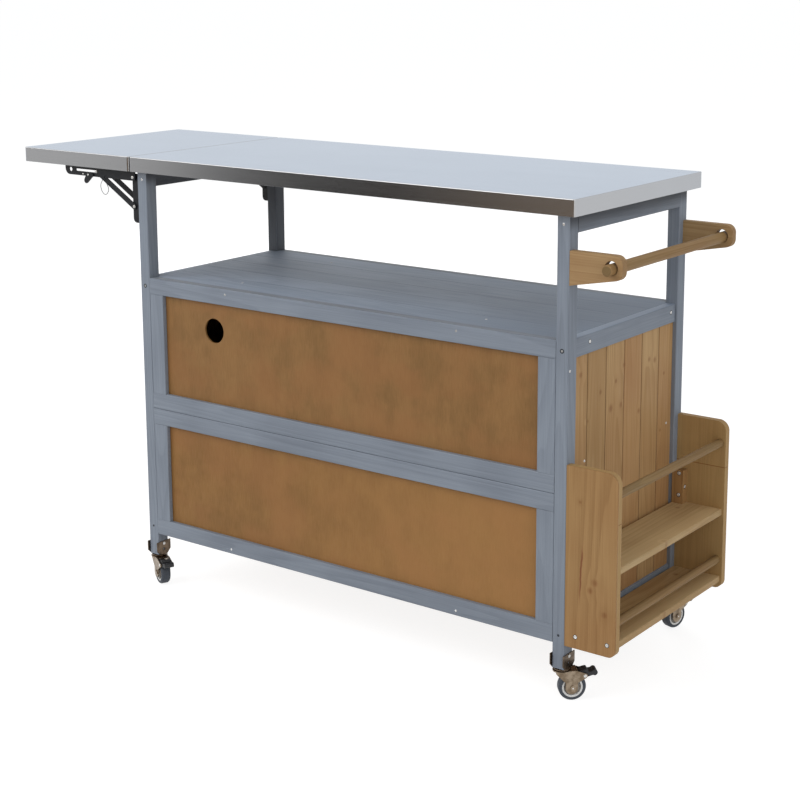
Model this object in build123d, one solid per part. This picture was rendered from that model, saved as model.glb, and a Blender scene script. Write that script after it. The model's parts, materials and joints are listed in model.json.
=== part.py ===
from build123d import *
import os
from math import atan2, degrees, hypot

# Outdoor kitchen cart: a painted wooden frame on braked casters, with a steel worktop, a drop leaf on
# folding brackets, a cabinet with two doors, a side rack and a towel rod.
# Millimetres. X runs along the cart to the rack end, +Y is the door side, Z is up from the floor.
# The origin lies on the floor under the middle of the four legs.

# Legs and the overall frame
LEG_SPAN_X = 1020.0
LEG_SPAN_Y = 418.0
LEG_X = 25.0
LEG_Y = 28.0
LEG_EDGE_RADIUS = 2.0
WORKTOP_TOP = 900.0
WORKTOP_RIM = 30.0

# Worktop and drop leaf
OVERHANG_RIGHT = 20.0
OVERHANG_LEFT = 2.5
OVERHANG_Y = 19.0
LEAF_SEAM = 2.0
LEAF_LENGTH = 309.5
SHEET = 1.0
SHEET_CORNER_RADIUS = 4.0
SHEET_FOLD_RADIUS = 1.5

# Aprons, deck, floor and middle shelf
APRON_HEIGHT = 33.5
APRON_THICK = 18.0
DECK_TOP = 653.0
DECK_THICK = 14.0
DECK_BOARDS = 5
FLOOR_THICK = 12.0
FLOOR_BOARDS = 4
SHELF_THICK = 9.0
SHELF_FRONT_GAP = 5.0
SHELF_BATTEN_HEIGHT = 428.0
BATTEN = 18.0
DECK_BATTEN_X = 295.0
NOTCH_CLEARANCE = 0.5
PLANK_CHAMFER = 0.6

# Framed panels of the back and the doors
CABINET_BOTTOM = 108.5
FRAME_THICK = 18.0
RAIL_HEIGHT = 33.0
STILE_WIDTH = 36.0
FRAME_EDGE_RADIUS = 1.5
PANEL_THICK = 4.0
PANEL_SET_BACK = 9.0
PANEL_GROOVE = 8.0
PANEL_CLEARANCE = 0.3
BACK_SEAM = 0.6
CABLE_HOLE_RADIUS = 25.0
CABLE_HOLE_X = -317.0
CABLE_HOLE_Z = 563.0

# End walls of tongue-and-groove boards
SIDE_RAIL_THICK = 18.0
SIDE_RAIL_UPPER = 34.0
SIDE_RAIL_LOWER = 31.0
SIDE_RAIL_SET_BACK = 4.5
SIDE_RAIL_EDGE_RADIUS = 3.0
BOARD_THICK = 10.0
BOARD_PITCH = 64.5
BOARD_JOINTS_EACH_SIDE = 2
BOARD_CHAMFER = 2.0
BOARD_GROOVE = 8.0
BOARD_CLEARANCE = 0.2
TONGUE_THICK = 3.0
TONGUE_LENGTH = 4.0

# Doors
DOOR_GAP = 2.0
KNOB_RADIUS = 13.0
KNOB_NECK_RADIUS = 6.0
KNOB_LENGTH = 18.0
KNOB_NECK_LENGTH = 6.0
HINGE_LEAF = 0.8
HINGE_WIDTH = 14.0
HINGE_HEIGHT = 45.0
HINGE_RADIUS = 3.0
HINGE_PIN_RADIUS = 1.5
HINGE_INSET = 60.0
HINGE_CLEARANCE = 0.3
RUNNING_CLEARANCE = 0.08

# Rack on the right end
RACK_DEPTH = 102.0
RACK_THICK = 14.0
RACK_BOTTOM = 108.0
RACK_TOP = 437.0
RACK_TOP_RADIUS = 20.0
RACK_BOTTOM_RADIUS = 15.0
RACK_SHELF_THICK = 12.0
RACK_SHELF_SET_BACK = 4.0
RACK_UPPER_SHELF = 266.0
RACK_LOWER_SHELF = 132.5
RACK_DOWEL_RADIUS = 8.0
RACK_DOWEL_INSET = 12.0
RACK_DOWEL_DEPTH = 7.0
RACK_UPPER_DOWEL = 395.0
RACK_LOWER_DOWEL = 165.0
DOWEL_CLEARANCE = 0.1
BLOCK_X = 23.0
BLOCK_Y = 17.0
BLOCK_HEIGHT = 66.0

# Towel rod and its brackets
HANDLE_DEPTH = 102.0
HANDLE_THICK = 14.0
HANDLE_DROP = 60.0
HANDLE_ROOT_HEIGHT = 60.0
HANDLE_TIP_HEIGHT = 40.0
HANDLE_CORNER_RADIUS = 15.0
ROD_RADIUS = 10.0
ROD_HOLE_RADIUS = 12.5
ROD_HOLE_INSET = 22.0
ROD_HOLE_DROP = 22.0
ROD_OVERHANG = 15.0
ROD_REST_GAP = 0.3

# Folding brackets of the leaf
BRACKET_SHEET = 2.0
BRACKET_GAP = 0.5
WALL_ARM_WIDTH = 23.0
WALL_ARM_DEPTH = 16.5
WALL_ARM_LENGTH = 100.0
WALL_ARM_TOP_MARGIN = 7.0
WALL_ARM_RADIUS = 9.0
FOLD_PIVOT_OUT = 11.0
FOLD_PIVOT_DROP = 14.0
FOLD_PIN_RADIUS = 2.5
STRUT_PIVOT_OUT = 12.0
STRUT_PIVOT_DROP = 60.0
STRUT_PIN_RADIUS = 2.0
STRUT_PIN_OUT = 117.0
STRUT_PIN_RISE = 4.0
STRUT_WIDTH = 11.5
LEAF_ARM_LENGTH = 197.5
LEAF_ARM_MARGIN = 7.0
LEAF_ARM_TIP_RADIUS = 13.0
LEAF_ARM_ROOT_RADIUS = 5.0
SLOT_LENGTH = 64.0
SLOT_HEIGHT = 4.8
SLOT_LEAD = 4.0
ARM_HOLE_RADIUS = 4.5
ARM_HOLE_OUT = 181.5
LEVER_PIVOT_OUT = 127.5
LEVER_PIVOT_DROP = 4.0
LEVER_EYE_RADIUS = 5.0
LEVER_HEEL_OUT = 116.0
LEVER_HEEL_RADIUS = 3.5
LEVER_TIP_OUT = 133.5
LEVER_TIP_DROP = 16.0
LEVER_TIP_RADIUS = 6.0
LEVER_PIN_RADIUS = 1.8

# Casters
WHEEL_RADIUS = 25.0
WHEEL_WIDTH = 20.0
TYRE_THICK = 6.0
TYRE_SHOULDER = 5.0
RIM_WIDTH = 17.0
RIM_WALL = 3.5
HUB_WEB = 8.0
HUB_BOSS_RADIUS = 6.5
AXLE_RADIUS = 3.0
AXLE_HEAD_RADIUS = 5.0
AXLE_HEAD = 1.5
TRAIL = 17.5
CROWN_GAP = 4.9
SADDLE_SHEET = 1.8
SADDLE_HEIGHT = 29.0
SADDLE_WIDTH = 38.0
SADDLE_CHAMFER = 9.0
SADDLE_HOLE_RADIUS = 2.5
SADDLE_HOLE_RISE = 12.0
RACE_RADIUS = 15.0
RACE_HEIGHT = 3.0
RACE_EDGE_RADIUS = 1.2
KING_PIN_RADIUS = 4.0
KING_PIN_HEAD_RADIUS = 7.0
KING_PIN_HEAD = 1.8
FORK_SHEET = 2.0
FORK_INSIDE = 23.0
FORK_CROWN_RADIUS = 17.0
FORK_CROWN_REACH = 26.0
FORK_CHEEK_BACK = 10.0
FORK_CHEEK_CORNER = 3.0
FORK_STRAP_RADIUS = 11.0
FORK_STRAP_LEAD = 2.0
FORK_THROAT_RISE = 11.0
CASTER_CLEARANCE = 0.3
PEDAL_ANGLE = 45.0
PEDAL_GAP = 1.3
PEDAL_PIN_RADIUS = 2.0
PEDAL_EYE_RADIUS = 4.5
PEDAL_HEEL_BACK = 6.0
PEDAL_HEEL_RISE = 5.5
PEDAL_HEEL_RADIUS = 3.0
PEDAL_HUMP_OUT = 3.0
PEDAL_HUMP_RISE = 7.0
PEDAL_HUMP_RADIUS = 3.5
PEDAL_TOE_OUT = 18.0
PEDAL_TOE_RISE = 4.0
PEDAL_TOE_RADIUS = 5.2
PEDAL_ARM_RADIUS = 3.2
PEDAL_WIDTH = 20.0
BRAKE_LOBE_RADIUS = 2.2
BRAKE_LOBE_OFFSET = 3.2
BRAKE_LOBE_LEAD = 25.0

# Way each caster trails at rest, in degrees from +X towards +Y
CASTER_HEADINGS = {
    "back_right": 43.0,
    "back_left": -26.0,
    "front_right": 74.0,
    "front_left": 15.0,
}

# Places that several pieces share
LEG_OUT_X = LEG_SPAN_X / 2
LEG_OUT_Y = LEG_SPAN_Y / 2
LEG_IN_X = LEG_OUT_X - LEG_X
LEG_IN_Y = LEG_OUT_Y - LEG_Y
LEG_MID_X = LEG_OUT_X - LEG_X / 2
LEG_MID_Y = LEG_OUT_Y - LEG_Y / 2
LEG_TOP = WORKTOP_TOP - WORKTOP_RIM
CROWN_BOTTOM = 2 * WHEEL_RADIUS + CROWN_GAP
CROWN_TOP = CROWN_BOTTOM + FORK_SHEET
RACE_TOP = CROWN_TOP + CASTER_CLEARANCE + RACE_HEIGHT
LEG_BOTTOM = RACE_TOP + SADDLE_SHEET
FRAME_IN_Y = LEG_OUT_Y - FRAME_THICK
SIDE_RAIL_OUT = LEG_OUT_X - SIDE_RAIL_SET_BACK
SIDE_RAIL_IN = SIDE_RAIL_OUT - SIDE_RAIL_THICK
BOARD_MID_X = SIDE_RAIL_OUT - SIDE_RAIL_THICK / 2
BOARD_IN_X = BOARD_MID_X - BOARD_THICK / 2
WORKTOP_RIGHT = LEG_OUT_X + OVERHANG_RIGHT
WORKTOP_LEFT = -LEG_OUT_X - OVERHANG_LEFT
LEAF_RIGHT = WORKTOP_LEFT - LEAF_SEAM
LEAF_LEFT = LEAF_RIGHT - LEAF_LENGTH
FLOOR_TOP = CABINET_BOTTOM + SIDE_RAIL_LOWER
RACK_OUT = LEG_OUT_X + RACK_DEPTH
RACK_IN_Y = LEG_OUT_Y - RACK_THICK
HANDLE_TOP = LEG_TOP - HANDLE_DROP
FOLD_PIVOT = Vector(-LEG_OUT_X - FOLD_PIVOT_OUT, LEG_TOP - FOLD_PIVOT_DROP)
STRUT_PIVOT = Vector(-LEG_OUT_X - STRUT_PIVOT_OUT, FOLD_PIVOT.Y - STRUT_PIVOT_DROP)
STRUT_PIN = Vector(-LEG_OUT_X - STRUT_PIN_OUT, FOLD_PIVOT.Y + STRUT_PIN_RISE)

UP = (0, 0, 1)
ACROSS = (0, 1, 0)


def block(x0, x1, y0, y1, z0, z1):
    """A box between two corners."""
    return Pos(x0, y0, z0) * Box(x1 - x0, y1 - y0, z1 - z0, align=Align.MIN)


def plate(face, y0, y1):
    """A flat piece: a face drawn in x and z, from y0 to y1."""
    return Pos(0, y0, 0) * extrude(Plane.XZ * face, y1 - y0, dir=ACROSS)


def bar_y(radius, x, z, y0, y1):
    """A round bar along Y."""
    return plate(Pos(x, z) * Circle(radius), y0, y1)


def turned(points, axis):
    """A turned piece: a closed outline of radius and height, revolved."""
    return revolve(Plane.XZ * make_face(Polyline(*points, close=True)), axis)


def hull_face(*rounds):
    """The face that a band drawn tight round a few circles encloses."""
    return make_hull([edge for one in rounds for edge in one.edges()])


def soft_face(x0, x1, z0, z1, corners):
    """A rectangle with rounded corners: radii for its corners, named by x and z signs."""
    face = Pos((x0 + x1) / 2, (z0 + z1) / 2) * Rectangle(x1 - x0, z1 - z0)
    for (side_x, side_z), radius in corners.items():
        column = face.vertices().group_by(Axis.X)[0 if side_x < 0 else -1]
        corner = column.sort_by(Axis.Y)[0 if side_z < 0 else -1]
        face = fillet(corner, radius)
    return face


def both_sides(shape):
    """A piece and its mirror image across the cart's long middle plane."""
    return [shape, mirror(shape, Plane.XZ)]


def both_ends(shape):
    """A piece and its mirror image across the cart's short middle plane."""
    return [shape, mirror(shape, Plane.YZ)]


def save(node, *shapes):
    """Write one node: all the solids of the given shapes."""
    solids = [solid for shape in shapes for solid in shape.solids()]
    whole = solids[0] if len(solids) == 1 else Compound(solids)
    export_step(whole, f"parts/{node}.step")


# Legs and aprons

def leg(x, y):
    post = block(x - LEG_X / 2, x + LEG_X / 2, y - LEG_Y / 2, y + LEG_Y / 2, LEG_BOTTOM, LEG_TOP)
    return fillet(post.edges().filter_by(Axis.Z), LEG_EDGE_RADIUS)


def legs():
    """The legs' middles by name."""
    return {
        f"{row}_{side}": (side_x * LEG_MID_X, side_y * LEG_MID_Y)
        for row, side_y in (("back", -1), ("front", 1))
        for side, side_x in (("left", -1), ("right", 1))
    }


def leg_notches():
    """The room that boards and shelves leave round the legs."""
    c = NOTCH_CLEARANCE
    corner = block(LEG_IN_X - c, LEG_OUT_X + c, LEG_IN_Y - c, LEG_OUT_Y + c, LEG_BOTTOM, LEG_TOP)
    return [end for side in both_sides(corner) for end in both_ends(side)]


def end_apron():
    bar = block(LEG_OUT_X - APRON_THICK, LEG_OUT_X, -LEG_IN_Y, LEG_IN_Y, LEG_TOP - APRON_HEIGHT, LEG_TOP)
    return fillet(bar.edges().filter_by(Axis.Y).group_by(Axis.Z)[0], FRAME_EDGE_RADIUS)


# Worktop and leaf: a folded steel skin over a wooden core

def steel_skin(x0, x1):
    place = Pos((x0 + x1) / 2, 0, LEG_TOP)
    length = x1 - x0
    width = LEG_SPAN_Y + 2 * OVERHANG_Y
    skin = extrude(RectangleRounded(length, width, SHEET_CORNER_RADIUS), WORKTOP_RIM)
    skin = fillet(skin.edges().group_by(Axis.Z)[-1], SHEET_FOLD_RADIUS)
    return place * (skin - sheet_core(length, width))


def sheet_core(length, width):
    inside = RectangleRounded(length - 2 * SHEET, width - 2 * SHEET, SHEET_CORNER_RADIUS - SHEET)
    return extrude(inside, WORKTOP_RIM - SHEET)


def wooden_core(x0, x1):
    return Pos((x0 + x1) / 2, 0, LEG_TOP) * sheet_core(x1 - x0, LEG_SPAN_Y + 2 * OVERHANG_Y)


# Tongue-and-groove boards

def board_face(w0, w1, thick, chamfer, tongue, groove):
    """One board's cross-section: its width along x, its face side up."""
    half = thick / 2
    key = TONGUE_THICK / 2
    outline = [(w0, -half), (w1, -half)]
    if tongue:
        tip = w1 + TONGUE_LENGTH
        outline += [(w1, -key), (tip, -key), (tip, key), (w1, key)]
        outline += [(w1, half - chamfer), (w1 - chamfer, half)]
    else:
        outline += [(w1, half)]
    if groove:
        lip = key + BOARD_CLEARANCE
        root = w0 + TONGUE_LENGTH + BOARD_CLEARANCE
        outline += [(w0 + chamfer, half), (w0, half - chamfer)]
        outline += [(w0, lip), (root, lip), (root, -lip), (w0, -lip)]
    else:
        outline += [(w0, half)]
    return make_face(Polyline(*outline, close=True))


def boards(edges, thick, chamfer, length):
    """Boards side by side between the given edges, standing up along z."""
    last = len(edges) - 2
    return [
        extrude(board_face(w0, w1, thick, chamfer, i < last, i > 0), length, dir=UP)
        for i, (w0, w1) in enumerate(zip(edges, edges[1:]))
    ]


def planks(count, top, thick):
    """Boards of equal width lying along X inside the cabinet's rails, cut out round the legs."""
    pitch = 2 * FRAME_IN_Y / count
    edges = [i * pitch - FRAME_IN_Y for i in range(count + 1)]
    place = Pos(-SIDE_RAIL_IN, 0, top - thick / 2)
    flat = [place * (Plane.YZ * one) for one in boards(edges, thick, PLANK_CHAMFER, 2 * SIDE_RAIL_IN)]
    return [one - leg_notches() for one in flat]


def end_wall_boards(turn, x):
    joints = [i * BOARD_PITCH for i in range(-BOARD_JOINTS_EACH_SIDE, BOARD_JOINTS_EACH_SIDE + 1)]
    bottom = FLOOR_TOP - BOARD_GROOVE + PANEL_CLEARANCE
    top = DECK_TOP - SIDE_RAIL_UPPER + BOARD_GROOVE - PANEL_CLEARANCE
    wall = boards([-LEG_IN_Y, *joints, LEG_IN_Y], BOARD_THICK, BOARD_CHAMFER, top - bottom)
    return [Pos(x, 0, bottom) * Rot(0, 0, turn) * one for one in wall]


def side_rail(z0, z1, groove_z0, groove_z1, round_top):
    bar = block(SIDE_RAIL_IN, SIDE_RAIL_OUT, -LEG_IN_Y, LEG_IN_Y, z0, z1)
    if round_top:
        edge = bar.edges().filter_by(Axis.Y).group_by(Axis.Z)[-1].sort_by(Axis.X)[-1]
        bar = fillet(edge, SIDE_RAIL_EDGE_RADIUS)
    half = BOARD_THICK / 2 + BOARD_CLEARANCE
    return bar - block(BOARD_MID_X - half, BOARD_MID_X + half, -LEG_IN_Y, LEG_IN_Y, groove_z0, groove_z1)


def side_rails():
    under = DECK_TOP - SIDE_RAIL_UPPER
    return [
        side_rail(under, DECK_TOP, under, under + BOARD_GROOVE, True),
        side_rail(CABINET_BOTTOM, FLOOR_TOP, FLOOR_TOP - BOARD_GROOVE, FLOOR_TOP, False),
    ]


# Framed panels

def frame_rail(x0, x1, z0, z1, groove_z0, groove_z1):
    bar = block(x0, x1, 0, FRAME_THICK, z0, z1)
    bar = fillet(bar.edges().filter_by(Axis.X).group_by(Axis.Y)[0], FRAME_EDGE_RADIUS)
    return bar - panel_groove(x0, x1, groove_z0, groove_z1)


def panel_groove(x0, x1, z0, z1):
    near = PANEL_SET_BACK - PANEL_CLEARANCE
    return block(x0, x1, near, near + PANEL_THICK + 2 * PANEL_CLEARANCE, z0, z1)


def frame_stile(x0, x1, z0, z1, groove_x0, groove_x1):
    """A stile between the rails, with a stub tenon in each rail's groove."""
    bar = block(x0, x1, 0, FRAME_THICK, z0, z1)
    bar = fillet(bar.edges().filter_by(Axis.Z).group_by(Axis.Y)[0], FRAME_EDGE_RADIUS)
    reach = PANEL_GROOVE - PANEL_CLEARANCE
    tenon = block(x0, x1, PANEL_SET_BACK, PANEL_SET_BACK + PANEL_THICK, z0 - reach, z1 + reach)
    return bar + tenon - panel_groove(groove_x0, groove_x1, z0 - PANEL_GROOVE, z1 + PANEL_GROOVE)


def framed_panel(x0, x1, z0, z1):
    """Rails, stiles and panel, with the face at y = 0 and the thickness behind it."""
    low = z0 + RAIL_HEIGHT
    high = z1 - RAIL_HEIGHT
    left = x0 + STILE_WIDTH
    right = x1 - STILE_WIDTH
    frame = [
        frame_rail(x0, x1, z0, low, low - PANEL_GROOVE, low),
        frame_rail(x0, x1, high, z1, high, high + PANEL_GROOVE),
        frame_stile(x0, left, low, high, left - PANEL_GROOVE, left),
        frame_stile(right, x1, low, high, right, right + PANEL_GROOVE),
    ]
    reach = PANEL_GROOVE - PANEL_CLEARANCE
    back = PANEL_SET_BACK + PANEL_THICK
    panel = block(left - reach, right + reach, PANEL_SET_BACK, back, low - reach, high + reach)
    return frame, panel


def back_panels():
    seam = (CABINET_BOTTOM + DECK_TOP) / 2
    place = Pos(0, -LEG_OUT_Y, 0)
    upper, upper_panel = framed_panel(-LEG_IN_X, LEG_IN_X, seam + BACK_SEAM / 2, DECK_TOP)
    lower, lower_panel = framed_panel(-LEG_IN_X, LEG_IN_X, CABINET_BOTTOM, seam - BACK_SEAM / 2)
    upper_panel -= bar_y(CABLE_HOLE_RADIUS, CABLE_HOLE_X, CABLE_HOLE_Z, 0, FRAME_THICK)
    save("back_frame_upper", *[place * piece for piece in upper])
    save("back_frame_lower", *[place * piece for piece in lower])
    save("back_panel_upper", place * upper_panel)
    save("back_panel_lower", place * lower_panel)


# Doors

DOOR_BOTTOM = FLOOR_TOP + DOOR_GAP
DOOR_TOP = DECK_TOP - RAIL_HEIGHT - DOOR_GAP
DOOR_OUT_X = LEG_IN_X - DOOR_GAP
HINGE_X = LEG_IN_X - DOOR_GAP / 2
HINGE_Y = LEG_OUT_Y + HINGE_RADIUS + HINGE_CLEARANCE
HINGE_ROWS = (DOOR_BOTTOM + HINGE_INSET, DOOR_TOP - HINGE_INSET)


def front_rails():
    upper = block(-LEG_IN_X, LEG_IN_X, FRAME_IN_Y, LEG_OUT_Y, DECK_TOP - RAIL_HEIGHT, DECK_TOP)
    lower = block(-LEG_IN_X, LEG_IN_X, FRAME_IN_Y, LEG_OUT_Y, CABINET_BOTTOM, FLOOR_TOP)
    outer_edges = [bar.edges().filter_by(Axis.X).group_by(Axis.Y)[-1] for bar in (upper, lower)]
    return [fillet(edges, FRAME_EDGE_RADIUS) for edges in outer_edges]


def on_hinge(radius, z0, z1):
    """A round bar on the right door's hinge axis."""
    return Pos(HINGE_X, HINGE_Y, z0) * extrude(Circle(radius), z1 - z0)


def hinge_heights(z):
    """The ends of a hinge, and the ends of its middle knuckle."""
    half = HINGE_HEIGHT / 2
    return z - half, z - half / 3, z + half / 3, z + half


def fixed_hinge(z):
    """The leg's half of a butt hinge: a leaf, two outer knuckles and the pin."""
    z0, low, high, z1 = hinge_heights(z)
    leaf = block(LEG_IN_X - HINGE_LEAF, LEG_IN_X, LEG_OUT_Y - HINGE_WIDTH, HINGE_Y, z0, z1)
    leaf -= on_hinge(HINGE_RADIUS + HINGE_CLEARANCE, low, high)
    knuckles = on_hinge(HINGE_RADIUS, z0, low) + on_hinge(HINGE_RADIUS, high, z1)
    return leaf + knuckles + on_hinge(HINGE_PIN_RADIUS, z0, z1)


def door_hinge(z):
    """The door's half of a butt hinge: a leaf and the middle knuckle."""
    z0, low, high, z1 = hinge_heights(z)
    low += HINGE_CLEARANCE
    high -= HINGE_CLEARANCE
    leaf = block(DOOR_OUT_X, DOOR_OUT_X + HINGE_LEAF, LEG_OUT_Y - HINGE_WIDTH, HINGE_Y, z0, z1)
    room = HINGE_RADIUS + HINGE_CLEARANCE
    leaf -= on_hinge(room, z0, low) + on_hinge(room, high, z1)
    return leaf + on_hinge(HINGE_RADIUS, low, high) - on_hinge(HINGE_PIN_RADIUS + RUNNING_CLEARANCE, z0, z1)


def knob(x):
    """A turned knob standing on the door's face."""
    flare = KNOB_RADIUS - KNOB_NECK_RADIUS
    outline = [
        (0, 0),
        (KNOB_NECK_RADIUS, 0),
        (KNOB_NECK_RADIUS, KNOB_NECK_LENGTH),
        (KNOB_RADIUS, KNOB_NECK_LENGTH + flare / 2),
        (KNOB_RADIUS, KNOB_LENGTH - flare / 2),
        (KNOB_RADIUS - flare / 2, KNOB_LENGTH),
        (0, KNOB_LENGTH),
    ]
    return Pos(x, LEG_OUT_Y, (DOOR_BOTTOM + DOOR_TOP) / 2) * Rot(-90, 0, 0) * turned(outline, Axis.Z)


def right_door():
    frame, panel = framed_panel(-DOOR_OUT_X, -DOOR_GAP / 2, DOOR_BOTTOM, DOOR_TOP)
    place = Pos(0, LEG_OUT_Y, 0) * Rot(0, 0, 180)
    hinges = [door_hinge(z) for z in HINGE_ROWS]
    return [place * piece for piece in frame], place * panel, knob(DOOR_GAP / 2 + STILE_WIDTH / 2), hinges


def doors():
    frame, panel, handle, hinges = right_door()
    save("door_right_frame", *frame)
    save("door_right_panel", panel)
    save("door_right_knob", handle)
    save("door_right_hinges", *hinges)
    save("door_left_frame", *[mirror(piece, Plane.YZ) for piece in frame])
    save("door_left_panel", mirror(panel, Plane.YZ))
    save("door_left_knob", mirror(handle, Plane.YZ))
    save("door_left_hinges", *[mirror(piece, Plane.YZ) for piece in hinges])
    save("leg_hinges", *[half for z in HINGE_ROWS for half in both_ends(fixed_hinge(z))])


# Floor, shelf and the battens that carry the boards

def cross_batten(x0, x1, half_y, top):
    return block(x0, x1, -half_y, half_y, top - BATTEN, top)


def support_battens():
    under_deck = DECK_TOP - DECK_THICK
    ends = [
        cross_batten(SIDE_RAIL_IN - BATTEN, SIDE_RAIL_IN, LEG_IN_Y, under_deck),
        cross_batten(BOARD_IN_X - BATTEN, BOARD_IN_X, LEG_IN_Y, SHELF_BATTEN_HEIGHT + BATTEN / 2),
        cross_batten(SIDE_RAIL_IN - BATTEN, SIDE_RAIL_IN, LEG_IN_Y, FLOOR_TOP - FLOOR_THICK),
        cross_batten(DECK_BATTEN_X - BATTEN / 2, DECK_BATTEN_X + BATTEN / 2, FRAME_IN_Y, under_deck),
    ]
    return [batten for end in ends for batten in both_ends(end)]


def middle_shelf():
    half_x = BOARD_IN_X - NOTCH_CLEARANCE
    back = FRAME_IN_Y - NOTCH_CLEARANCE
    z0 = SHELF_BATTEN_HEIGHT + BATTEN / 2
    sheet = block(-half_x, half_x, -back, FRAME_IN_Y - SHELF_FRONT_GAP, z0, z0 + SHELF_THICK)
    return sheet - leg_notches()


# Rack on the right end

def rack_side():
    radii = {(1, 1): RACK_TOP_RADIUS, (1, -1): RACK_BOTTOM_RADIUS}
    side = plate(soft_face(LEG_OUT_X, RACK_OUT, RACK_BOTTOM, RACK_TOP, radii), RACK_IN_Y, LEG_OUT_Y)
    for z in (RACK_UPPER_DOWEL, RACK_LOWER_DOWEL):
        hole = RACK_DOWEL_RADIUS + DOWEL_CLEARANCE
        side -= bar_y(hole, RACK_OUT - RACK_DOWEL_INSET, z, RACK_IN_Y, RACK_IN_Y + RACK_DOWEL_DEPTH)
    return side


def rack_shelf(top):
    front = RACK_OUT - RACK_SHELF_SET_BACK
    slab = block(LEG_OUT_X, front, -RACK_IN_Y, RACK_IN_Y, top - RACK_SHELF_THICK, top)
    return fillet(slab.edges().filter_by(Axis.Y).group_by(Axis.X)[-1], FRAME_EDGE_RADIUS)


def rack_dowel(z):
    reach = RACK_IN_Y + RACK_DOWEL_DEPTH - DOWEL_CLEARANCE
    return bar_y(RACK_DOWEL_RADIUS, RACK_OUT - RACK_DOWEL_INSET, z, -reach, reach)


def rack_block():
    top = RACK_UPPER_SHELF + BLOCK_HEIGHT
    return block(LEG_OUT_X, LEG_OUT_X + BLOCK_X, RACK_IN_Y - BLOCK_Y, RACK_IN_Y, RACK_UPPER_SHELF, top)


# Towel rod

ROD_X = LEG_OUT_X + HANDLE_DEPTH - ROD_HOLE_INSET
ROD_HOLE_Z = HANDLE_TOP - ROD_HOLE_DROP
ROD_Z = ROD_HOLE_Z - ROD_HOLE_RADIUS + ROD_RADIUS + ROD_REST_GAP


def handle_bracket():
    tip = LEG_OUT_X + HANDLE_DEPTH
    outline = [
        (LEG_OUT_X, HANDLE_TOP - HANDLE_ROOT_HEIGHT),
        (tip, HANDLE_TOP - HANDLE_TIP_HEIGHT),
        (tip, HANDLE_TOP),
        (LEG_OUT_X, HANDLE_TOP),
    ]
    face = make_face(Polyline(*outline, close=True))
    face = fillet(face.vertices().group_by(Axis.X)[-1], HANDLE_CORNER_RADIUS)
    face -= Pos(ROD_X, ROD_HOLE_Z) * Circle(ROD_HOLE_RADIUS)
    return plate(face, LEG_OUT_Y - HANDLE_THICK, LEG_OUT_Y)


def towel_rod():
    reach = LEG_OUT_Y + ROD_OVERHANG
    rod = bar_y(ROD_RADIUS, ROD_X, ROD_Z, -reach, reach)
    return chamfer(rod.edges().filter_by(GeomType.CIRCLE), FRAME_EDGE_RADIUS)


# Folding brackets, each drawn about its own middle plane and then moved to its leg

WALL_WEB = WALL_ARM_WIDTH / 2
STRUT_NEAR = WALL_WEB + BRACKET_GAP
STRUT_FAR = STRUT_NEAR + BRACKET_SHEET
ARM_NEAR = STRUT_FAR + BRACKET_GAP
ARM_FAR = ARM_NEAR + BRACKET_SHEET
LEVER_NEAR = ARM_FAR + BRACKET_GAP
LEVER_FAR = LEVER_NEAR + BRACKET_SHEET


def out(distance, z):
    """A point at a distance outside the left legs, in x and z."""
    return Pos(-LEG_OUT_X - distance, z)


def wall_arm():
    """A channel on the leg, holding the fold pin."""
    x0 = -LEG_OUT_X - WALL_ARM_DEPTH
    top = FOLD_PIVOT.Y + WALL_ARM_TOP_MARGIN
    bottom = top - WALL_ARM_LENGTH
    radii = {(-1, 1): WALL_ARM_TOP_MARGIN, (-1, -1): WALL_ARM_RADIUS}
    side = soft_face(x0, -LEG_OUT_X, bottom, top, radii)
    side -= Pos(STRUT_PIVOT.X, STRUT_PIVOT.Y) * Circle(STRUT_PIN_RADIUS + RUNNING_CLEARANCE)
    webs = plate(side, -WALL_WEB, BRACKET_SHEET - WALL_WEB) + plate(side, WALL_WEB - BRACKET_SHEET, WALL_WEB)
    base = block(-LEG_OUT_X - BRACKET_SHEET, -LEG_OUT_X, -WALL_WEB, WALL_WEB, bottom, top)
    pin = bar_y(FOLD_PIN_RADIUS, FOLD_PIVOT.X, FOLD_PIVOT.Y, -LEVER_NEAR, WALL_WEB)
    return webs + base + pin


def leaf_arm():
    """An angle under the leaf: a flange, and a web with the fold bore, the lock slot and a hole."""
    x0 = -LEG_OUT_X - FOLD_PIVOT_OUT - LEAF_ARM_LENGTH
    x1 = FOLD_PIVOT.X + LEAF_ARM_MARGIN
    radii = {(-1, -1): LEAF_ARM_TIP_RADIUS, (1, -1): LEAF_ARM_ROOT_RADIUS}
    side = soft_face(x0, x1, FOLD_PIVOT.Y - LEAF_ARM_MARGIN, LEG_TOP, radii)
    side -= Pos(FOLD_PIVOT.X, FOLD_PIVOT.Y) * Circle(FOLD_PIN_RADIUS + RUNNING_CLEARANCE)
    slot_middle = STRUT_PIN.X + SLOT_LEAD - SLOT_LENGTH / 2
    side -= Pos(slot_middle, STRUT_PIN.Y) * SlotOverall(SLOT_LENGTH, SLOT_HEIGHT)
    side -= out(ARM_HOLE_OUT + FOLD_PIVOT_OUT, STRUT_PIN.Y) * Circle(ARM_HOLE_RADIUS)
    flange = block(x0, x1, -ARM_FAR, STRUT_FAR, LEG_TOP - BRACKET_SHEET, LEG_TOP)
    rivet = out(LEVER_PIVOT_OUT + FOLD_PIVOT_OUT, FOLD_PIVOT.Y - LEVER_PIVOT_DROP)
    pin = plate(rivet * Circle(LEVER_PIN_RADIUS), -LEVER_FAR, -ARM_FAR)
    return plate(side, -ARM_FAR, -ARM_NEAR) + flange + pin


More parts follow.
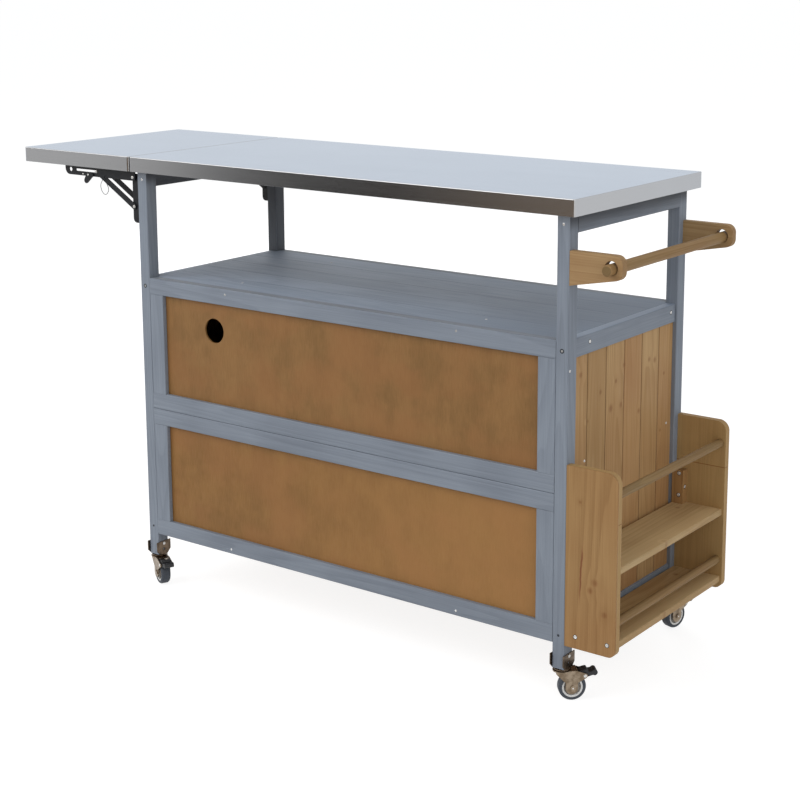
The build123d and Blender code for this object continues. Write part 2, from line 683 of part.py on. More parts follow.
def strut():
    """Two flat bars side by side, with a pin through each end."""
    length = hypot(STRUT_PIN.X - STRUT_PIVOT.X, STRUT_PIN.Y - STRUT_PIVOT.Y)
    slope = degrees(atan2(STRUT_PIN.Y - STRUT_PIVOT.Y, STRUT_PIN.X - STRUT_PIVOT.X))
    middle = (STRUT_PIN + STRUT_PIVOT) / 2
    flat = Pos(middle.X, middle.Y) * Rot(0, 0, slope) * SlotCenterToCenter(length, STRUT_WIDTH)
    bars = plate(flat, -STRUT_FAR, -STRUT_NEAR) + plate(flat, STRUT_NEAR, STRUT_FAR)
    for end in (STRUT_PIVOT, STRUT_PIN):
        bars += bar_y(STRUT_PIN_RADIUS, end.X, end.Y, -STRUT_FAR, STRUT_FAR)
    return bars


def lever():
    """A small plate on the leaf arm that frees the lock."""
    eye = out(LEVER_PIVOT_OUT + FOLD_PIVOT_OUT, FOLD_PIVOT.Y - LEVER_PIVOT_DROP)
    heel = out(LEVER_HEEL_OUT + FOLD_PIVOT_OUT, FOLD_PIVOT.Y - LEVER_PIVOT_DROP)
    tip = out(LEVER_TIP_OUT + FOLD_PIVOT_OUT, FOLD_PIVOT.Y - LEVER_TIP_DROP)
    face = hull_face(
        eye * Circle(LEVER_EYE_RADIUS),
        heel * Circle(LEVER_HEEL_RADIUS),
        tip * Circle(LEVER_TIP_RADIUS),
    )
    face -= eye * Circle(LEVER_PIN_RADIUS + RUNNING_CLEARANCE)
    return plate(face, -LEVER_FAR, -LEVER_NEAR)


def folding_brackets():
    place = Pos(0, -LEG_MID_Y, 0)
    save("bracket_wall_arms", *both_sides(place * wall_arm()))
    save("leaf_arms", *both_sides(place * leaf_arm()))
    for name, shape in (("strut", strut()), ("release_lever", lever())):
        back, front = both_sides(place * shape)
        save(f"{name}_back", back)
        save(f"{name}_front", front)


# Casters, each drawn on its own swivel axis, trailing along +X

FORK_OUT = FORK_INSIDE / 2 + FORK_SHEET
RIM_RADIUS = WHEEL_RADIUS - TYRE_THICK
AXLE = Vector(TRAIL, WHEEL_RADIUS)
PEDAL_PIVOT = AXLE + Vector(WHEEL_RADIUS + PEDAL_GAP + PEDAL_EYE_RADIUS, 0).rotate(Axis.Z, PEDAL_ANGLE)


def saddle():
    """A folded plate round the leg's foot, with the upper race and the king pin."""
    out_x = LEG_X / 2 + SADDLE_SHEET
    waist = SADDLE_WIDTH / 2 - SADDLE_CHAMFER
    base = block(-out_x, out_x, -waist, waist, RACE_TOP, LEG_BOTTOM)
    ear_face = Pos(0, RACE_TOP) * Rectangle(SADDLE_WIDTH, SADDLE_HEIGHT, align=(Align.CENTER, Align.MIN))
    ear_face = chamfer(ear_face.vertices().group_by(Axis.Y)[0], SADDLE_CHAMFER)
    ear_face -= Pos(0, RACE_TOP + SADDLE_HOLE_RISE) * Circle(SADDLE_HOLE_RADIUS)
    ear = Pos(LEG_X / 2, 0, 0) * extrude(Plane.YZ * ear_face, SADDLE_SHEET, dir=(1, 0, 0))
    race = Pos(0, 0, RACE_TOP - RACE_HEIGHT) * extrude(Circle(RACE_RADIUS), RACE_HEIGHT)
    race = fillet(race.edges().group_by(Axis.Z)[0], RACE_EDGE_RADIUS)
    head_top = CROWN_BOTTOM - CASTER_CLEARANCE
    shank = Pos(0, 0, head_top) * extrude(Circle(KING_PIN_RADIUS), RACE_TOP - head_top)
    head = Pos(0, 0, head_top - KING_PIN_HEAD) * extrude(Circle(KING_PIN_HEAD_RADIUS), KING_PIN_HEAD)
    return base + both_ends(ear) + race + shank + head


def fork():
    """A pressed crown with two cheeks that narrow to a strap on the axle and carry the pedal's pin."""
    lap = Pos(0, 0) * Rectangle(FORK_CROWN_REACH, 2 * FORK_OUT, align=(Align.MIN, Align.CENTER))
    crown = extrude(Circle(FORK_CROWN_RADIUS) + lap, FORK_SHEET)
    corner = Circle(FORK_CHEEK_CORNER)
    strap_foot = Pos(AXLE) * Pos(-FORK_STRAP_LEAD, 0)
    throat = strap_foot * Pos(0, FORK_THROAT_RISE)
    throat_corner = FORK_STRAP_RADIUS - FORK_CHEEK_CORNER
    funnel = hull_face(
        Pos(-FORK_CHEEK_BACK, CROWN_TOP - FORK_CHEEK_CORNER) * corner,
        Pos(FORK_CROWN_REACH - FORK_CHEEK_CORNER, CROWN_TOP - FORK_CHEEK_CORNER) * corner,
        throat * Pos(-throat_corner, 0) * corner,
        throat * Pos(throat_corner, 0) * corner,
        Pos(PEDAL_PIVOT) * Circle(PEDAL_EYE_RADIUS),
    )
    strap = hull_face(throat * Circle(FORK_STRAP_RADIUS), strap_foot * Circle(FORK_STRAP_RADIUS))
    side = funnel + strap
    side -= Pos(AXLE) * Circle(AXLE_RADIUS)
    side -= Pos(PEDAL_PIVOT) * Circle(PEDAL_PIN_RADIUS)
    cheek = plate(side, FORK_INSIDE / 2, FORK_OUT)
    body = Pos(0, 0, CROWN_BOTTOM) * crown + both_sides(cheek)
    body -= Pos(0, 0, CROWN_BOTTOM) * extrude(Circle(KING_PIN_RADIUS + RUNNING_CLEARANCE), FORK_SHEET)
    return body


def axle():
    rod = bar_y(AXLE_RADIUS, AXLE.X, AXLE.Y, -FORK_OUT, FORK_OUT)
    head = bar_y(AXLE_HEAD_RADIUS, AXLE.X, AXLE.Y, FORK_OUT, FORK_OUT + AXLE_HEAD)
    return rod + both_sides(head)


def pedal_pin():
    return bar_y(PEDAL_PIN_RADIUS, PEDAL_PIVOT.X, PEDAL_PIVOT.Y, -FORK_OUT, FORK_OUT)


def on_axle(outline):
    """A wheel piece: its half outline of radius and half width, mirrored and turned on the axle."""
    whole = outline + [(radius, -half) for radius, half in reversed(outline)]
    return Pos(AXLE.X, 0, AXLE.Y) * Rot(90, 0, 0) * turned(whole, Axis.Z)


def hub():
    rim_in = RIM_RADIUS - RIM_WALL
    return on_axle([
        (AXLE_RADIUS + RUNNING_CLEARANCE, FORK_INSIDE / 2 - CASTER_CLEARANCE),
        (HUB_BOSS_RADIUS, FORK_INSIDE / 2 - CASTER_CLEARANCE),
        (HUB_BOSS_RADIUS, HUB_WEB / 2),
        (rim_in, HUB_WEB / 2),
        (rim_in, RIM_WIDTH / 2),
        (RIM_RADIUS, RIM_WIDTH / 2),
    ])


def tyre():
    ring = on_axle([(RIM_RADIUS, WHEEL_WIDTH / 2), (WHEEL_RADIUS, WHEEL_WIDTH / 2)])
    circles = ring.edges().filter_by(GeomType.CIRCLE)
    return fillet(circles.filter_by(lambda edge: edge.radius > RIM_RADIUS), TYRE_SHOULDER)


def pedal():
    """A toe pedal: a humped root on the pin, an arm with a rolled toe, and a lobe that brakes the tyre."""
    eye = Pos(PEDAL_PIVOT)
    toe = eye * Pos(PEDAL_TOE_OUT, PEDAL_TOE_RISE)
    root = hull_face(
        eye * Circle(PEDAL_EYE_RADIUS),
        eye * Pos(-PEDAL_HEEL_BACK, PEDAL_HEEL_RISE) * Circle(PEDAL_HEEL_RADIUS),
        eye * Pos(PEDAL_HUMP_OUT, PEDAL_HUMP_RISE) * Circle(PEDAL_HUMP_RADIUS),
    )
    arm = hull_face(eye * Circle(PEDAL_EYE_RADIUS), toe * Circle(PEDAL_ARM_RADIUS))
    face = root + arm + toe * Circle(PEDAL_TOE_RADIUS)
    to_tyre = Rot(0, 0, PEDAL_ANGLE + 180)
    lobe = eye * to_tyre * Rot(0, 0, BRAKE_LOBE_LEAD) * Pos(BRAKE_LOBE_OFFSET, 0)
    face += lobe * Circle(BRAKE_LOBE_RADIUS)
    face -= eye * Circle(PEDAL_PIN_RADIUS + RUNNING_CLEARANCE)
    return plate(face, -PEDAL_WIDTH / 2, PEDAL_WIDTH / 2)


def casters():
    saddles = []
    for name, (x, y) in legs().items():
        saddles.append(Pos(x, y, 0) * saddle())
        place = Pos(x, y, 0) * Rot(0, 0, CASTER_HEADINGS[name])
        save(f"caster_{name}_fork", place * fork(), place * axle(), place * pedal_pin())
        save(f"caster_{name}_hub", place * hub())
        save(f"caster_{name}_tyre", place * tyre())
        save(f"caster_{name}_pedal", place * pedal())
    save("caster_saddles", *saddles)


def main():
    os.makedirs("parts", exist_ok=True)
    for name, (x, y) in legs().items():
        save(f"leg_{name}", leg(x, y))
    save("end_aprons", *both_ends(end_apron()))
    save("worktop_steel", steel_skin(WORKTOP_LEFT, WORKTOP_RIGHT))
    save("worktop_core", wooden_core(WORKTOP_LEFT, WORKTOP_RIGHT))
    save("leaf_steel", steel_skin(LEAF_LEFT, LEAF_RIGHT))
    save("leaf_core", wooden_core(LEAF_LEFT, LEAF_RIGHT))
    save("side_boards_right", *end_wall_boards(-90, BOARD_MID_X))
    save("side_boards_left", *end_wall_boards(90, -BOARD_MID_X))
    save("side_rails_right", *side_rails())
    save("side_rails_left", *[mirror(rail, Plane.YZ) for rail in side_rails()])
    back_panels()
    save("front_rails", *front_rails())
    doors()
    save("deck_boards", *planks(DECK_BOARDS, DECK_TOP, DECK_THICK))
    save("floor_boards", *planks(FLOOR_BOARDS, FLOOR_TOP, FLOOR_THICK))
    save("support_battens", *support_battens())
    save("middle_shelf", middle_shelf())
    save("rack_sides", *both_sides(rack_side()))
    save("rack_shelves", rack_shelf(RACK_UPPER_SHELF), rack_shelf(RACK_LOWER_SHELF))
    save("rack_dowels", rack_dowel(RACK_UPPER_DOWEL), rack_dowel(RACK_LOWER_DOWEL))
    save("rack_blocks", *both_sides(rack_block()))
    save("handle_brackets", *both_sides(handle_bracket()))
    save("towel_rod", towel_rod())
    folding_brackets()
    casters()


main()
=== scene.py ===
import json
from math import radians, tau
import bpy
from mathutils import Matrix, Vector


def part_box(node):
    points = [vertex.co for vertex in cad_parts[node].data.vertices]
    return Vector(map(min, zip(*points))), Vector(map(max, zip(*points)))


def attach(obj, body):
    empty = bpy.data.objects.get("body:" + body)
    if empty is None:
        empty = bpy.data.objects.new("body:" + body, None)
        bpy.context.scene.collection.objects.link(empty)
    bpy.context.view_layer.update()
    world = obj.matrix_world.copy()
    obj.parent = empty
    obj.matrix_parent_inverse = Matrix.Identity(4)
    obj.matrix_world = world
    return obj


# Outdoor kitchen cart: the finishes, the small fasteners, the camera and the studio.
# Metres. X runs along the cart to the rack end, the camera stands on the -Y side, Z is up from the floor.

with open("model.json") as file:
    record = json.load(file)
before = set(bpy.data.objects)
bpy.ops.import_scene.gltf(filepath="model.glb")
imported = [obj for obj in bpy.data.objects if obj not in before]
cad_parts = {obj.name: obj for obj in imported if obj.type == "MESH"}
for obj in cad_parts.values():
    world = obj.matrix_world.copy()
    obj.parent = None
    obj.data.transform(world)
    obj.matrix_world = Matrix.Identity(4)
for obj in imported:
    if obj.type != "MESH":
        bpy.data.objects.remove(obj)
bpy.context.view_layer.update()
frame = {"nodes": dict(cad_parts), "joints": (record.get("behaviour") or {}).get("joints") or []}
nodes = frame["nodes"]

MM = 0.001
ALONG_X, ALONG_Y, ALONG_Z = 0, 1, 2
LEFT, RIGHT = -1, 1
BACK, FRONT = -1, 1
CORNERS = ("back_left", "back_right", "front_left", "front_right")

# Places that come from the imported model
leg_low, leg_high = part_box("leg_front_right")
LEG_OUT_X, LEG_OUT_Y = leg_high.x, leg_high.y
LEG_IN_X, LEG_IN_Y = leg_low.x, leg_low.y
LEG_MID_X, LEG_MID_Y = (LEG_OUT_X + LEG_IN_X) / 2, (LEG_OUT_Y + LEG_IN_Y) / 2
LEG_TOP = leg_high.z
DECK_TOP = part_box("deck_boards")[1].z
SIDE_RAIL_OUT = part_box("side_rails_right")[1].x
WALL_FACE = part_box("side_boards_right")[1].x
RACK_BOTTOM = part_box("rack_sides")[0].z
CABINET_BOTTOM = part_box("back_frame_lower")[0].z

joints = {joint["name"]: joint for joint in frame["joints"]}

# Camera
CAMERA_PLACE = (1.9401, -2.5593, 1.2873)
CAMERA_HEADING = 35.56
CAMERA_PITCH = -10.88
CAMERA_LENS = 74.99
CAMERA_SENSOR = 36.0
CAMERA_SHIFT = (-0.06, -0.15)


def add_object(name, data):
    made = bpy.data.objects.new(name, data)
    bpy.context.scene.collection.objects.link(made)
    return made


def set_camera():
    data = bpy.data.cameras.new("camera")
    data.lens = CAMERA_LENS
    data.sensor_width = CAMERA_SENSOR
    data.shift_x, data.shift_y = CAMERA_SHIFT
    camera = add_object("camera", data)
    camera.location = CAMERA_PLACE
    camera.rotation_euler = (radians(90 + CAMERA_PITCH), 0, radians(CAMERA_HEADING))
    bpy.context.scene.camera = camera


# Node expressions

EDGE_STEP = (0.995, 0.86)
FACING_STEP = (0.7, 0.9)


def set_stops(elements, stops):
    """Put a colour ramp's stops at the given shares of its length."""
    while len(elements) < len(stops):
        elements.new(1.0)
    for element, (share, colour) in zip(elements, stops):
        element.position = share
        element.color = colour


class Wire:
    """A node socket that takes part in Python expressions."""

    def __init__(self, tree, socket=None):
        self.tree = tree
        self.socket = socket

    def node(self, kind, settings=None, sockets=None, output=0):
        """Add a node of any type: its settings first, then its sockets' values or links."""
        made = self.tree.nodes.new(kind)
        for name, value in (settings or {}).items():
            if name == "stops":
                set_stops(made.color_ramp.elements, value)
            else:
                setattr(made, name, value)
        inputs = {socket.identifier: socket for socket in made.inputs}
        for name, value in (sockets or {}).items():
            for one in value if isinstance(value, list) else [value]:
                if isinstance(one, Wire):
                    self.tree.links.new(one.socket, inputs[name])
                else:
                    inputs[name].default_value = one
        outputs = {socket.identifier: socket for socket in made.outputs}
        return Wire(self.tree, outputs[output] if isinstance(output, str) else made.outputs[output])

    def other(self, name):
        """Another output of the node that this socket is on."""
        return Wire(self.tree, self.socket.node.outputs[name])

    def math(self, operation, *values):
        names = ("Value", "Value_001", "Value_002")
        return self.node("ShaderNodeMath", {"operation": operation}, dict(zip(names, values)))

    def __add__(self, value):
        return self.math("ADD", self, value)

    def __sub__(self, value):
        return self.math("SUBTRACT", self, value)

    def __rsub__(self, value):
        return self.math("SUBTRACT", value, self)

    def __mul__(self, value):
        return self.math("MULTIPLY", self, value)

    def __truediv__(self, value):
        return self.math("DIVIDE", self, value)

    def __pow__(self, value):
        return self.math("POWER", self, value)

    def __abs__(self):
        return self.math("ABSOLUTE", self)

    __radd__ = __add__
    __rmul__ = __mul__


def srgb(red, green, blue):
    """A colour as a screen shows it, made linear."""
    def linear(part):
        share = part / 255
        return share / 12.92 if share <= 0.04045 else ((share + 0.055) / 1.055) ** 2.4
    return (linear(red), linear(green), linear(blue), 1.0)


def between(wire, low, high):
    """0 below low, 1 above high, with a soft step; low may lie above high."""
    sockets = {"Value": wire, "From Min": low, "From Max": high}
    return wire.node("ShaderNodeMapRange", {"interpolation_type": "SMOOTHSTEP"}, sockets, "Result")


def larger(first, second):
    return first.math("MAXIMUM", first, second)


def mixed(share, first, second):
    """A colour between two colours."""
    sockets = {"Factor_Float": share, "A_Color": first, "B_Color": second}
    return share.node("ShaderNodeMix", {"data_type": "RGBA"}, sockets, "Result_Color")


def parts(place):
    """The x, y and z of a place."""
    x = place.node("ShaderNodeSeparateXYZ", sockets={"Vector": place})
    return x, x.other("Y"), x.other("Z")


def spread(place, rates):
    """A place with each axis multiplied by its own rate."""
    sockets = {"Vector": place, "Vector_001": tuple(rates)}
    return place.node("ShaderNodeVectorMath", {"operation": "MULTIPLY"}, sockets, "Vector")


def noise(place, detail=2.0, roughness=0.5):
    sockets = {"Vector": place, "Scale": 1.0, "Detail": detail, "Roughness": roughness}
    return place.node("ShaderNodeTexNoise", sockets=sockets, output="Fac")


def chance(wire):
    """A fixed random number for each whole number."""
    return wire.node("ShaderNodeTexWhiteNoise", {"noise_dimensions": "1D"}, {"W": wire}, "Value")


def soft_edges(place, radius):
    """The surface's direction with its sharp edges rounded off."""
    return place.node("ShaderNodeBevel", {"samples": 4}, {"Radius": radius}, "Normal")


def bumped(height, depth, over):
    sockets = {"Height": height, "Distance": depth, "Strength": 1.0, "Normal": over}
    return height.node("ShaderNodeBump", sockets=sockets, output="Normal")


def edge_share(place, rounded):
    """How near a point lies to a sharp edge, from 0 to 1."""
    straight = place.node("ShaderNodeNewGeometry", output="Normal")
    sockets = {"Vector": rounded, "Vector_001": straight}
    dot = place.node("ShaderNodeVectorMath", {"operation": "DOT_PRODUCT"}, sockets, "Value")
    return between(dot, *EDGE_STEP)


def facing(wire, axis, way=1):
    """1 on faces that look along an axis, or against it where way is -1."""
    normal = wire.node("ShaderNodeNewGeometry", output="Normal")
    return between(parts(normal)[axis] * way, *FACING_STEP)


def finish(name, constants, surface):
    """A material: constant values on the shader, and what the surface function varies."""
    material = bpy.data.materials.new(name)
    material.use_nodes = True
    shader = material.node_tree.nodes["Principled BSDF"]
    for label, value in constants.items():
        shader.inputs[label].default_value = value
    place = Wire(material.node_tree).node("ShaderNodeTexCoord", output="Object")
    for label, wire in surface(place).items():
        material.node_tree.links.new(wire.socket, shader.inputs[label])
    return material


# Timber

RING_RATES = (13.0, 0.8)
RING_COUNT = 17.0
FIBRE_RATES = (620.0, 9.0)
CLOUD_RATE = 5.0
BOARD_STEPS = (3.7, 5.3, 7.9)
EDGE_ROUND = 1.2 * MM


def stretched(place, rates, along, crossed=None):
    """A place spread across the grain; crossed gives another axis, and the mask where the grain
    follows that one."""
    across_rate, along_rate = rates
    own = [across_rate] * 3
    own[along] = along_rate
    if crossed is None:
        return spread(place, own)
    other_axis, mask = crossed
    other = [across_rate] * 3
    other[other_axis] = along_rate
    sockets = {"Factor_Float": mask, "A_Vector": spread(place, own), "B_Vector": spread(place, other)}
    return place.node("ShaderNodeMix", {"data_type": "VECTOR"}, sockets, "Result_Vector")


def apart(place, number):
    """A place moved far off by a whole number, so that each board has its own grain."""
    sockets = {axis: number * step for axis, step in zip("XYZ", BOARD_STEPS)}
    shift = place.node("ShaderNodeCombineXYZ", sockets=sockets)
    sockets = {"Vector": place, "Vector_001": shift}
    return place.node("ShaderNodeVectorMath", {"operation": "ADD"}, sockets, "Vector")


def timber(place, along, crossed=None, bend=None):
    """Rings, fibres and clouds of sawn wood, each from 0 to 1; bend turns the rings round knots."""
    growth = noise(stretched(place, RING_RATES, along, crossed), detail=1.5)
    if bend is not None:
        growth = growth + bend * KNOT_BEND
    ring = (growth * RING_COUNT).math("FRACT", growth * RING_COUNT)
    late = between(ring, 0.15, 0.95) * between(ring, 1.0, 0.93)
    fibre = between(noise(stretched(place, FIBRE_RATES, along, crossed), detail=3.0), 0.3, 0.7)
    cloud = between(noise(spread(place, [CLOUD_RATE] * 3), detail=2.0), 0.32, 0.68)
    return late, fibre, cloud


def board_number(across, first_edge, pitch):
    """Which board a point lies on, counted across the boards."""
    number = (across - first_edge) / pitch
    return number.math("FLOOR", number)


GREY_PALE = srgb(136, 144, 155)
GREY_DEEP = srgb(113, 120, 131)
GREY_WORN = srgb(158, 165, 174)
GREY_JOINT = srgb(58, 63, 71)
# Painted light: the deck's grey is a paler, bluer lit copy of the paint, also laid on the side rails'
# upward faces
DECK_LIT_PALE = srgb(152, 167, 188)
DECK_LIT_DEEP = srgb(127, 141, 161)
JOINT_WIDTH = 1.3 * MM
DECK_SHADE = srgb(122, 135, 153)
DECK_SHADE_REACH = 450 * MM
PAINT_RELIEF = 0.1 * MM


def joint_lines(across, first_edge, pitch, width=JOINT_WIDTH):
    """Thin lines where boards of one pitch meet."""
    step = (across - first_edge) / pitch
    away = abs(step - step.math("ROUND", step)) * pitch
    return between(away, width, width * 0.3)


def painted(along, pale=GREY_PALE, deep=GREY_DEEP, stiles=None, planks=None, end=None, pale_top=False,
            extra=None):
    """Grey paint thin enough to show the grain: stiles is a mask function, planks an edge and a pitch,
    end the X at which the planks meet the side rail and are darkest, with painted shade towards it,
    pale_top paints light on upward faces, as pale as the deck's lit tone, and extra is a function that
    adds what only this piece has to the colour."""
    def surface(place):
        x, y, z = parts(place)
        crossed = None
        if stiles is not None:
            crossed = (ALONG_Z, stiles(x, z))
        grain_place = place
        if planks is not None:
            grain_place = apart(place, board_number(y, *planks))
        late, fibre, cloud = timber(grain_place, along, crossed)
        rounded = soft_edges(place, EDGE_ROUND)
        worn = edge_share(place, rounded) * between(cloud * 0.6 + fibre * 0.4, 0.35, 0.8)
        colour = mixed(late * 0.26 + fibre * 0.3 + cloud * 0.38, pale, deep)
        # Painted light: upward faces take the deck's pale lit tone
        if pale_top:
            colour = mixed(facing(place, ALONG_Z) * 0.8, colour, DECK_LIT_PALE)
        colour = mixed(worn * 0.4, colour, GREY_WORN)
        if planks is not None:
            colour = mixed(joint_lines(y, *planks) * 0.5, colour, GREY_JOINT)
        if end is not None:
            # Painted shade: the planks darken towards their right end; a dark joint where they meet the
            # side rail
            colour = mixed(between(x, end - DECK_SHADE_REACH, end) * 0.9, colour, DECK_SHADE)
            colour = mixed(between(abs(x), end - JOINT_WIDTH, end) * 0.7, colour, GREY_JOINT)
        if extra is not None:
            colour = extra((x, y, z), colour)
        return {
            "Base Color": colour,
            "Roughness": 0.5 + fibre * 0.14,
            "Normal": bumped(late * 0.5 + fibre * 0.5, PAINT_RELIEF, rounded),
        }
    return surface


GREY_SHADE = srgb(40, 42, 47)
LEG_SHADE_LOW = 34 * MM
LEG_SHADE_HIGH = 8 * MM
LEG_SHADE_SHARE = 0.75
CORNER_SHADE_SHARE = 0.68
CORNER_SHADE_GAIN = 0.2
APRON_SHADE_RISE = 26 * MM
APRON_SHADE_SHARE = 0.18
APRON_SHADE_GAIN = 0.58


def leg_shade(axes, colour):
    """The worktop's ends shade the tops of the legs."""
    x, _, z = axes
    ends = larger(facing(x, ALONG_X), facing(x, ALONG_X, -1))
    share = between(z, LEG_TOP - LEG_SHADE_LOW, LEG_TOP - LEG_SHADE_HIGH) * ends
    return mixed(share * LEG_SHADE_SHARE, colour, GREY_SHADE)


def corner_leg_shade(axes, colour):
    """The leg in the far corner by the leaf is in shade on its inner faces above the deck."""
    x, _, z = axes
    inner = larger(facing(x, ALONG_X), facing(x, ALONG_Y, -1)) * z.math("GREATER_THAN", z, DECK_TOP)
    share = between(z, DECK_TOP, LEG_TOP) * CORNER_SHADE_GAIN + CORNER_SHADE_SHARE
    return mixed(share * inner, colour, GREY_SHADE)


def apron_shade(axes, colour):
    """The worktop shades the end aprons towards their tops, and the one by the leaf all over."""
    x, _, z = axes
    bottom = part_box("end_aprons")[0].z
    share = larger(between(z, bottom, bottom + APRON_SHADE_RISE), x.math("LESS_THAN", x, 0.0))
    return mixed(share * APRON_SHADE_GAIN + APRON_SHADE_SHARE, colour, GREY_SHADE)


OIL_PALE = srgb(167, 131, 86)
OIL_DEEP = srgb(128, 94, 54)
OIL_WARM = srgb(170, 120, 76)
OIL_GREEN = srgb(150, 128, 84)
OIL_KNOT = srgb(120, 72, 37)
WALL_PALE = srgb(188, 154, 108)
WALL_DEEP = srgb(150, 115, 73)
WALL_GROOVE = srgb(66, 45, 25)
WALL_JOINT_WIDTH = 1.8 * MM
DOWEL_PALE = srgb(141, 116, 75)
DOWEL_DEEP = srgb(105, 84, 51)
SHELF_PALE = srgb(190, 163, 120)
SHELF_DEEP = srgb(153, 126, 85)
# Painted light on the shelves' upward faces towards the front
SHELF_FRONT_LIGHT = srgb(234, 205, 155)
SHELF_FADE = 60 * MM
# Painted light: the rack sides' inner faces are paler
RACK_INSIDE_LIGHT = srgb(188, 160, 108)
ROD_PALE = srgb(156, 126, 84)
ROD_DEEP = srgb(116, 93, 58)
HANDLE_PALE = srgb(171, 142, 101)
HANDLE_DEEP = srgb(138, 106, 69)
OIL_RELIEF = 0.13 * MM
KNOT_STRETCH = 1.05
KNOT_BEND = 0.022
KNOT_HEART = (1.35, 0.2)
KNOT_REACH = (4.2, 0.4)
END_GRAIN_STEP = (0.75, 0.95)

# The end walls' boards: an edge and the pitch, and the two that differ
WALL_BOARDS = (0.0, 64.5 * MM)
WALL_RED_BOARD = 0
WALL_GREEN_BOARD = -2

# Knots on the end walls: Y, Z and radius in millimetres, as the photograph shows them
WALL_KNOTS = (
    (-2, 571, 5), (-30, 547, 4.5), (-84, 538, 5), (-11, 499, 6), (-47, 500, 8), (56, 473, 5.5),
    (92, 563, 5), (113, 558, 6), (150, 525, 4), (-153, 583, 6), (-127, 494, 3.5), (141, 416, 3.5),
)

# Knots on the rack sides: X, Z and radius in millimetres, and the crack and the glue line
RACK_KNOTS = ((569, 237, 7), (560, 221, 6), (589, 183, 6), (538, 376, 3))
CRACK_X = 539.0 * MM
CRACK_LEAN = 0.035
CRACK_TOP = 308.0 * MM
CRACK_BOTTOM = 180.0 * MM
CRACK_WIDTH = 2.5 * MM
CRACK_WANDER = 7.0 * MM
CRACK_WANDER_RATE = 30.0
CRACK_FADE_BELOW = 50 * MM
CRACK_FADE_ABOVE = 30 * MM
GLUE_LINE = 348.0 * MM
FACE_DEPTH = 3 * MM
OIL_CRACK = srgb(112, 56, 34)

# Knots on the rack's shelves: X, Y and radius in millimetres
SHELF_KNOTS = ((604, -25, 6), (535, 155, 5))


def knot_fields(across, along, knots):
    """Two fields round the named knots: the knots themselves, and the bend of the rings round them."""
    heart = bend = None
    for knot_across, knot_along, radius in knots:
        u = (across - knot_across * MM) / (radius * MM)
        v = (along - knot_along * MM) / (radius * KNOT_STRETCH * MM)
        away = (u * u + v * v) ** 0.5
        one_heart = between(away, *KNOT_HEART)
        one_bend = between(away, *KNOT_REACH)
        heart = one_heart if heart is None else larger(heart, one_heart)
        bend = one_bend if bend is None else larger(bend, one_bend)
    return heart, bend


def crack_field(x, z):
    """A drying crack in the rack sides, a thin line that wanders and runs out at both ends."""
    height = z.node("ShaderNodeCombineXYZ", sockets={"Z": z})
    wander = noise(spread(height, (1.0, 1.0, CRACK_WANDER_RATE)), detail=2.0)
    middle = CRACK_X + (z - CRACK_BOTTOM) * CRACK_LEAN + (wander - 0.5) * CRACK_WANDER
    lower_end = between(z, CRACK_BOTTOM, CRACK_BOTTOM + CRACK_FADE_BELOW)
    ends = lower_end * between(z, CRACK_TOP, CRACK_TOP - CRACK_FADE_ABOVE)
    return between(abs(x - middle) / (ends + 0.05), CRACK_WIDTH, CRACK_WIDTH * 0.2) * ends


def end_grain(place, along):
    """1 on faces cut across the grain."""
    normal = place.node("ShaderNodeNewGeometry", output="Normal")
    return between(abs(parts(normal)[along]), *END_GRAIN_STEP)


def oiled(along, knots=(), knot_axis=ALONG_Y, boards=None, pale=OIL_PALE, deep=OIL_DEEP,
          knotted=None, extra=None, end=0.55):
    """Oiled softwood: knots are places across and along the grain, boards an edge and a pitch along Y,
    knotted a function that masks the faces with knots, extra one that adds what only this piece has to
    the colour, end how dark the cut ends are."""
    def surface(place):
        axes = parts(place)
        grain_place = place
        if boards is not None:
            number = board_number(axes[1], *boards)
            grain_place = apart(place, number)
        heart, bend = knot_fields(axes[knot_axis], axes[along], knots)
        if knotted is not None:
            heart = heart * knotted(axes)
            bend = bend * knotted(axes)
        late, fibre, cloud = timber(grain_place, along, bend=bend)
        colour = mixed(late * 0.32 + fibre * 0.26 + cloud * 0.32, pale, deep)
        colour = mixed(cloud * 0.22, colour, OIL_WARM)
        if boards is not None:
            colour = mixed(chance(number) * 0.18, colour, OIL_WARM)
            colour = mixed(joint_lines(axes[1], *boards, WALL_JOINT_WIDTH) * 0.8, colour, WALL_GROOVE)
        if heart is not None:
            colour = mixed(heart * (0.32 + 0.4 * fibre), colour, OIL_KNOT)
        if extra is not None:
            colour = extra(axes, colour)
        colour = mixed(end_grain(place, along) * end, colour, deep)
        return {
            "Base Color": colour,
            "Roughness": 0.52 + fibre * 0.16,
            "Normal": bumped(late * 0.5 + fibre * 0.5, OIL_RELIEF, soft_edges(place, EDGE_ROUND)),
        }
    return surface


def wall_tints(axes, colour):
    """One board of the end walls is redder and one greener than the rest."""
    number = board_number(axes[1], *WALL_BOARDS)
    red = number.math("COMPARE", number, WALL_RED_BOARD, 0.5)
    green = number.math("COMPARE", number, WALL_GREEN_BOARD, 0.5)
    return mixed(green * 0.18, mixed(red * 0.2, colour, OIL_WARM), OIL_GREEN)


def shelf_front_light(axes, colour):
    """Painted light: the rack's shelves are paler on their upward faces towards the front."""
    x = axes[0]
    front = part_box("rack_shelves")[1].x
    share = between(x, front - SHELF_FADE, front) * facing(x, ALONG_Z)
    return mixed(share * 0.42, colour, SHELF_FRONT_LIGHT)


def rack_outside(axes):
    """1 on the rack sides' outer faces."""
    y = abs(axes[1])
    return y.math("GREATER_THAN", y, LEG_OUT_Y - FACE_DEPTH)


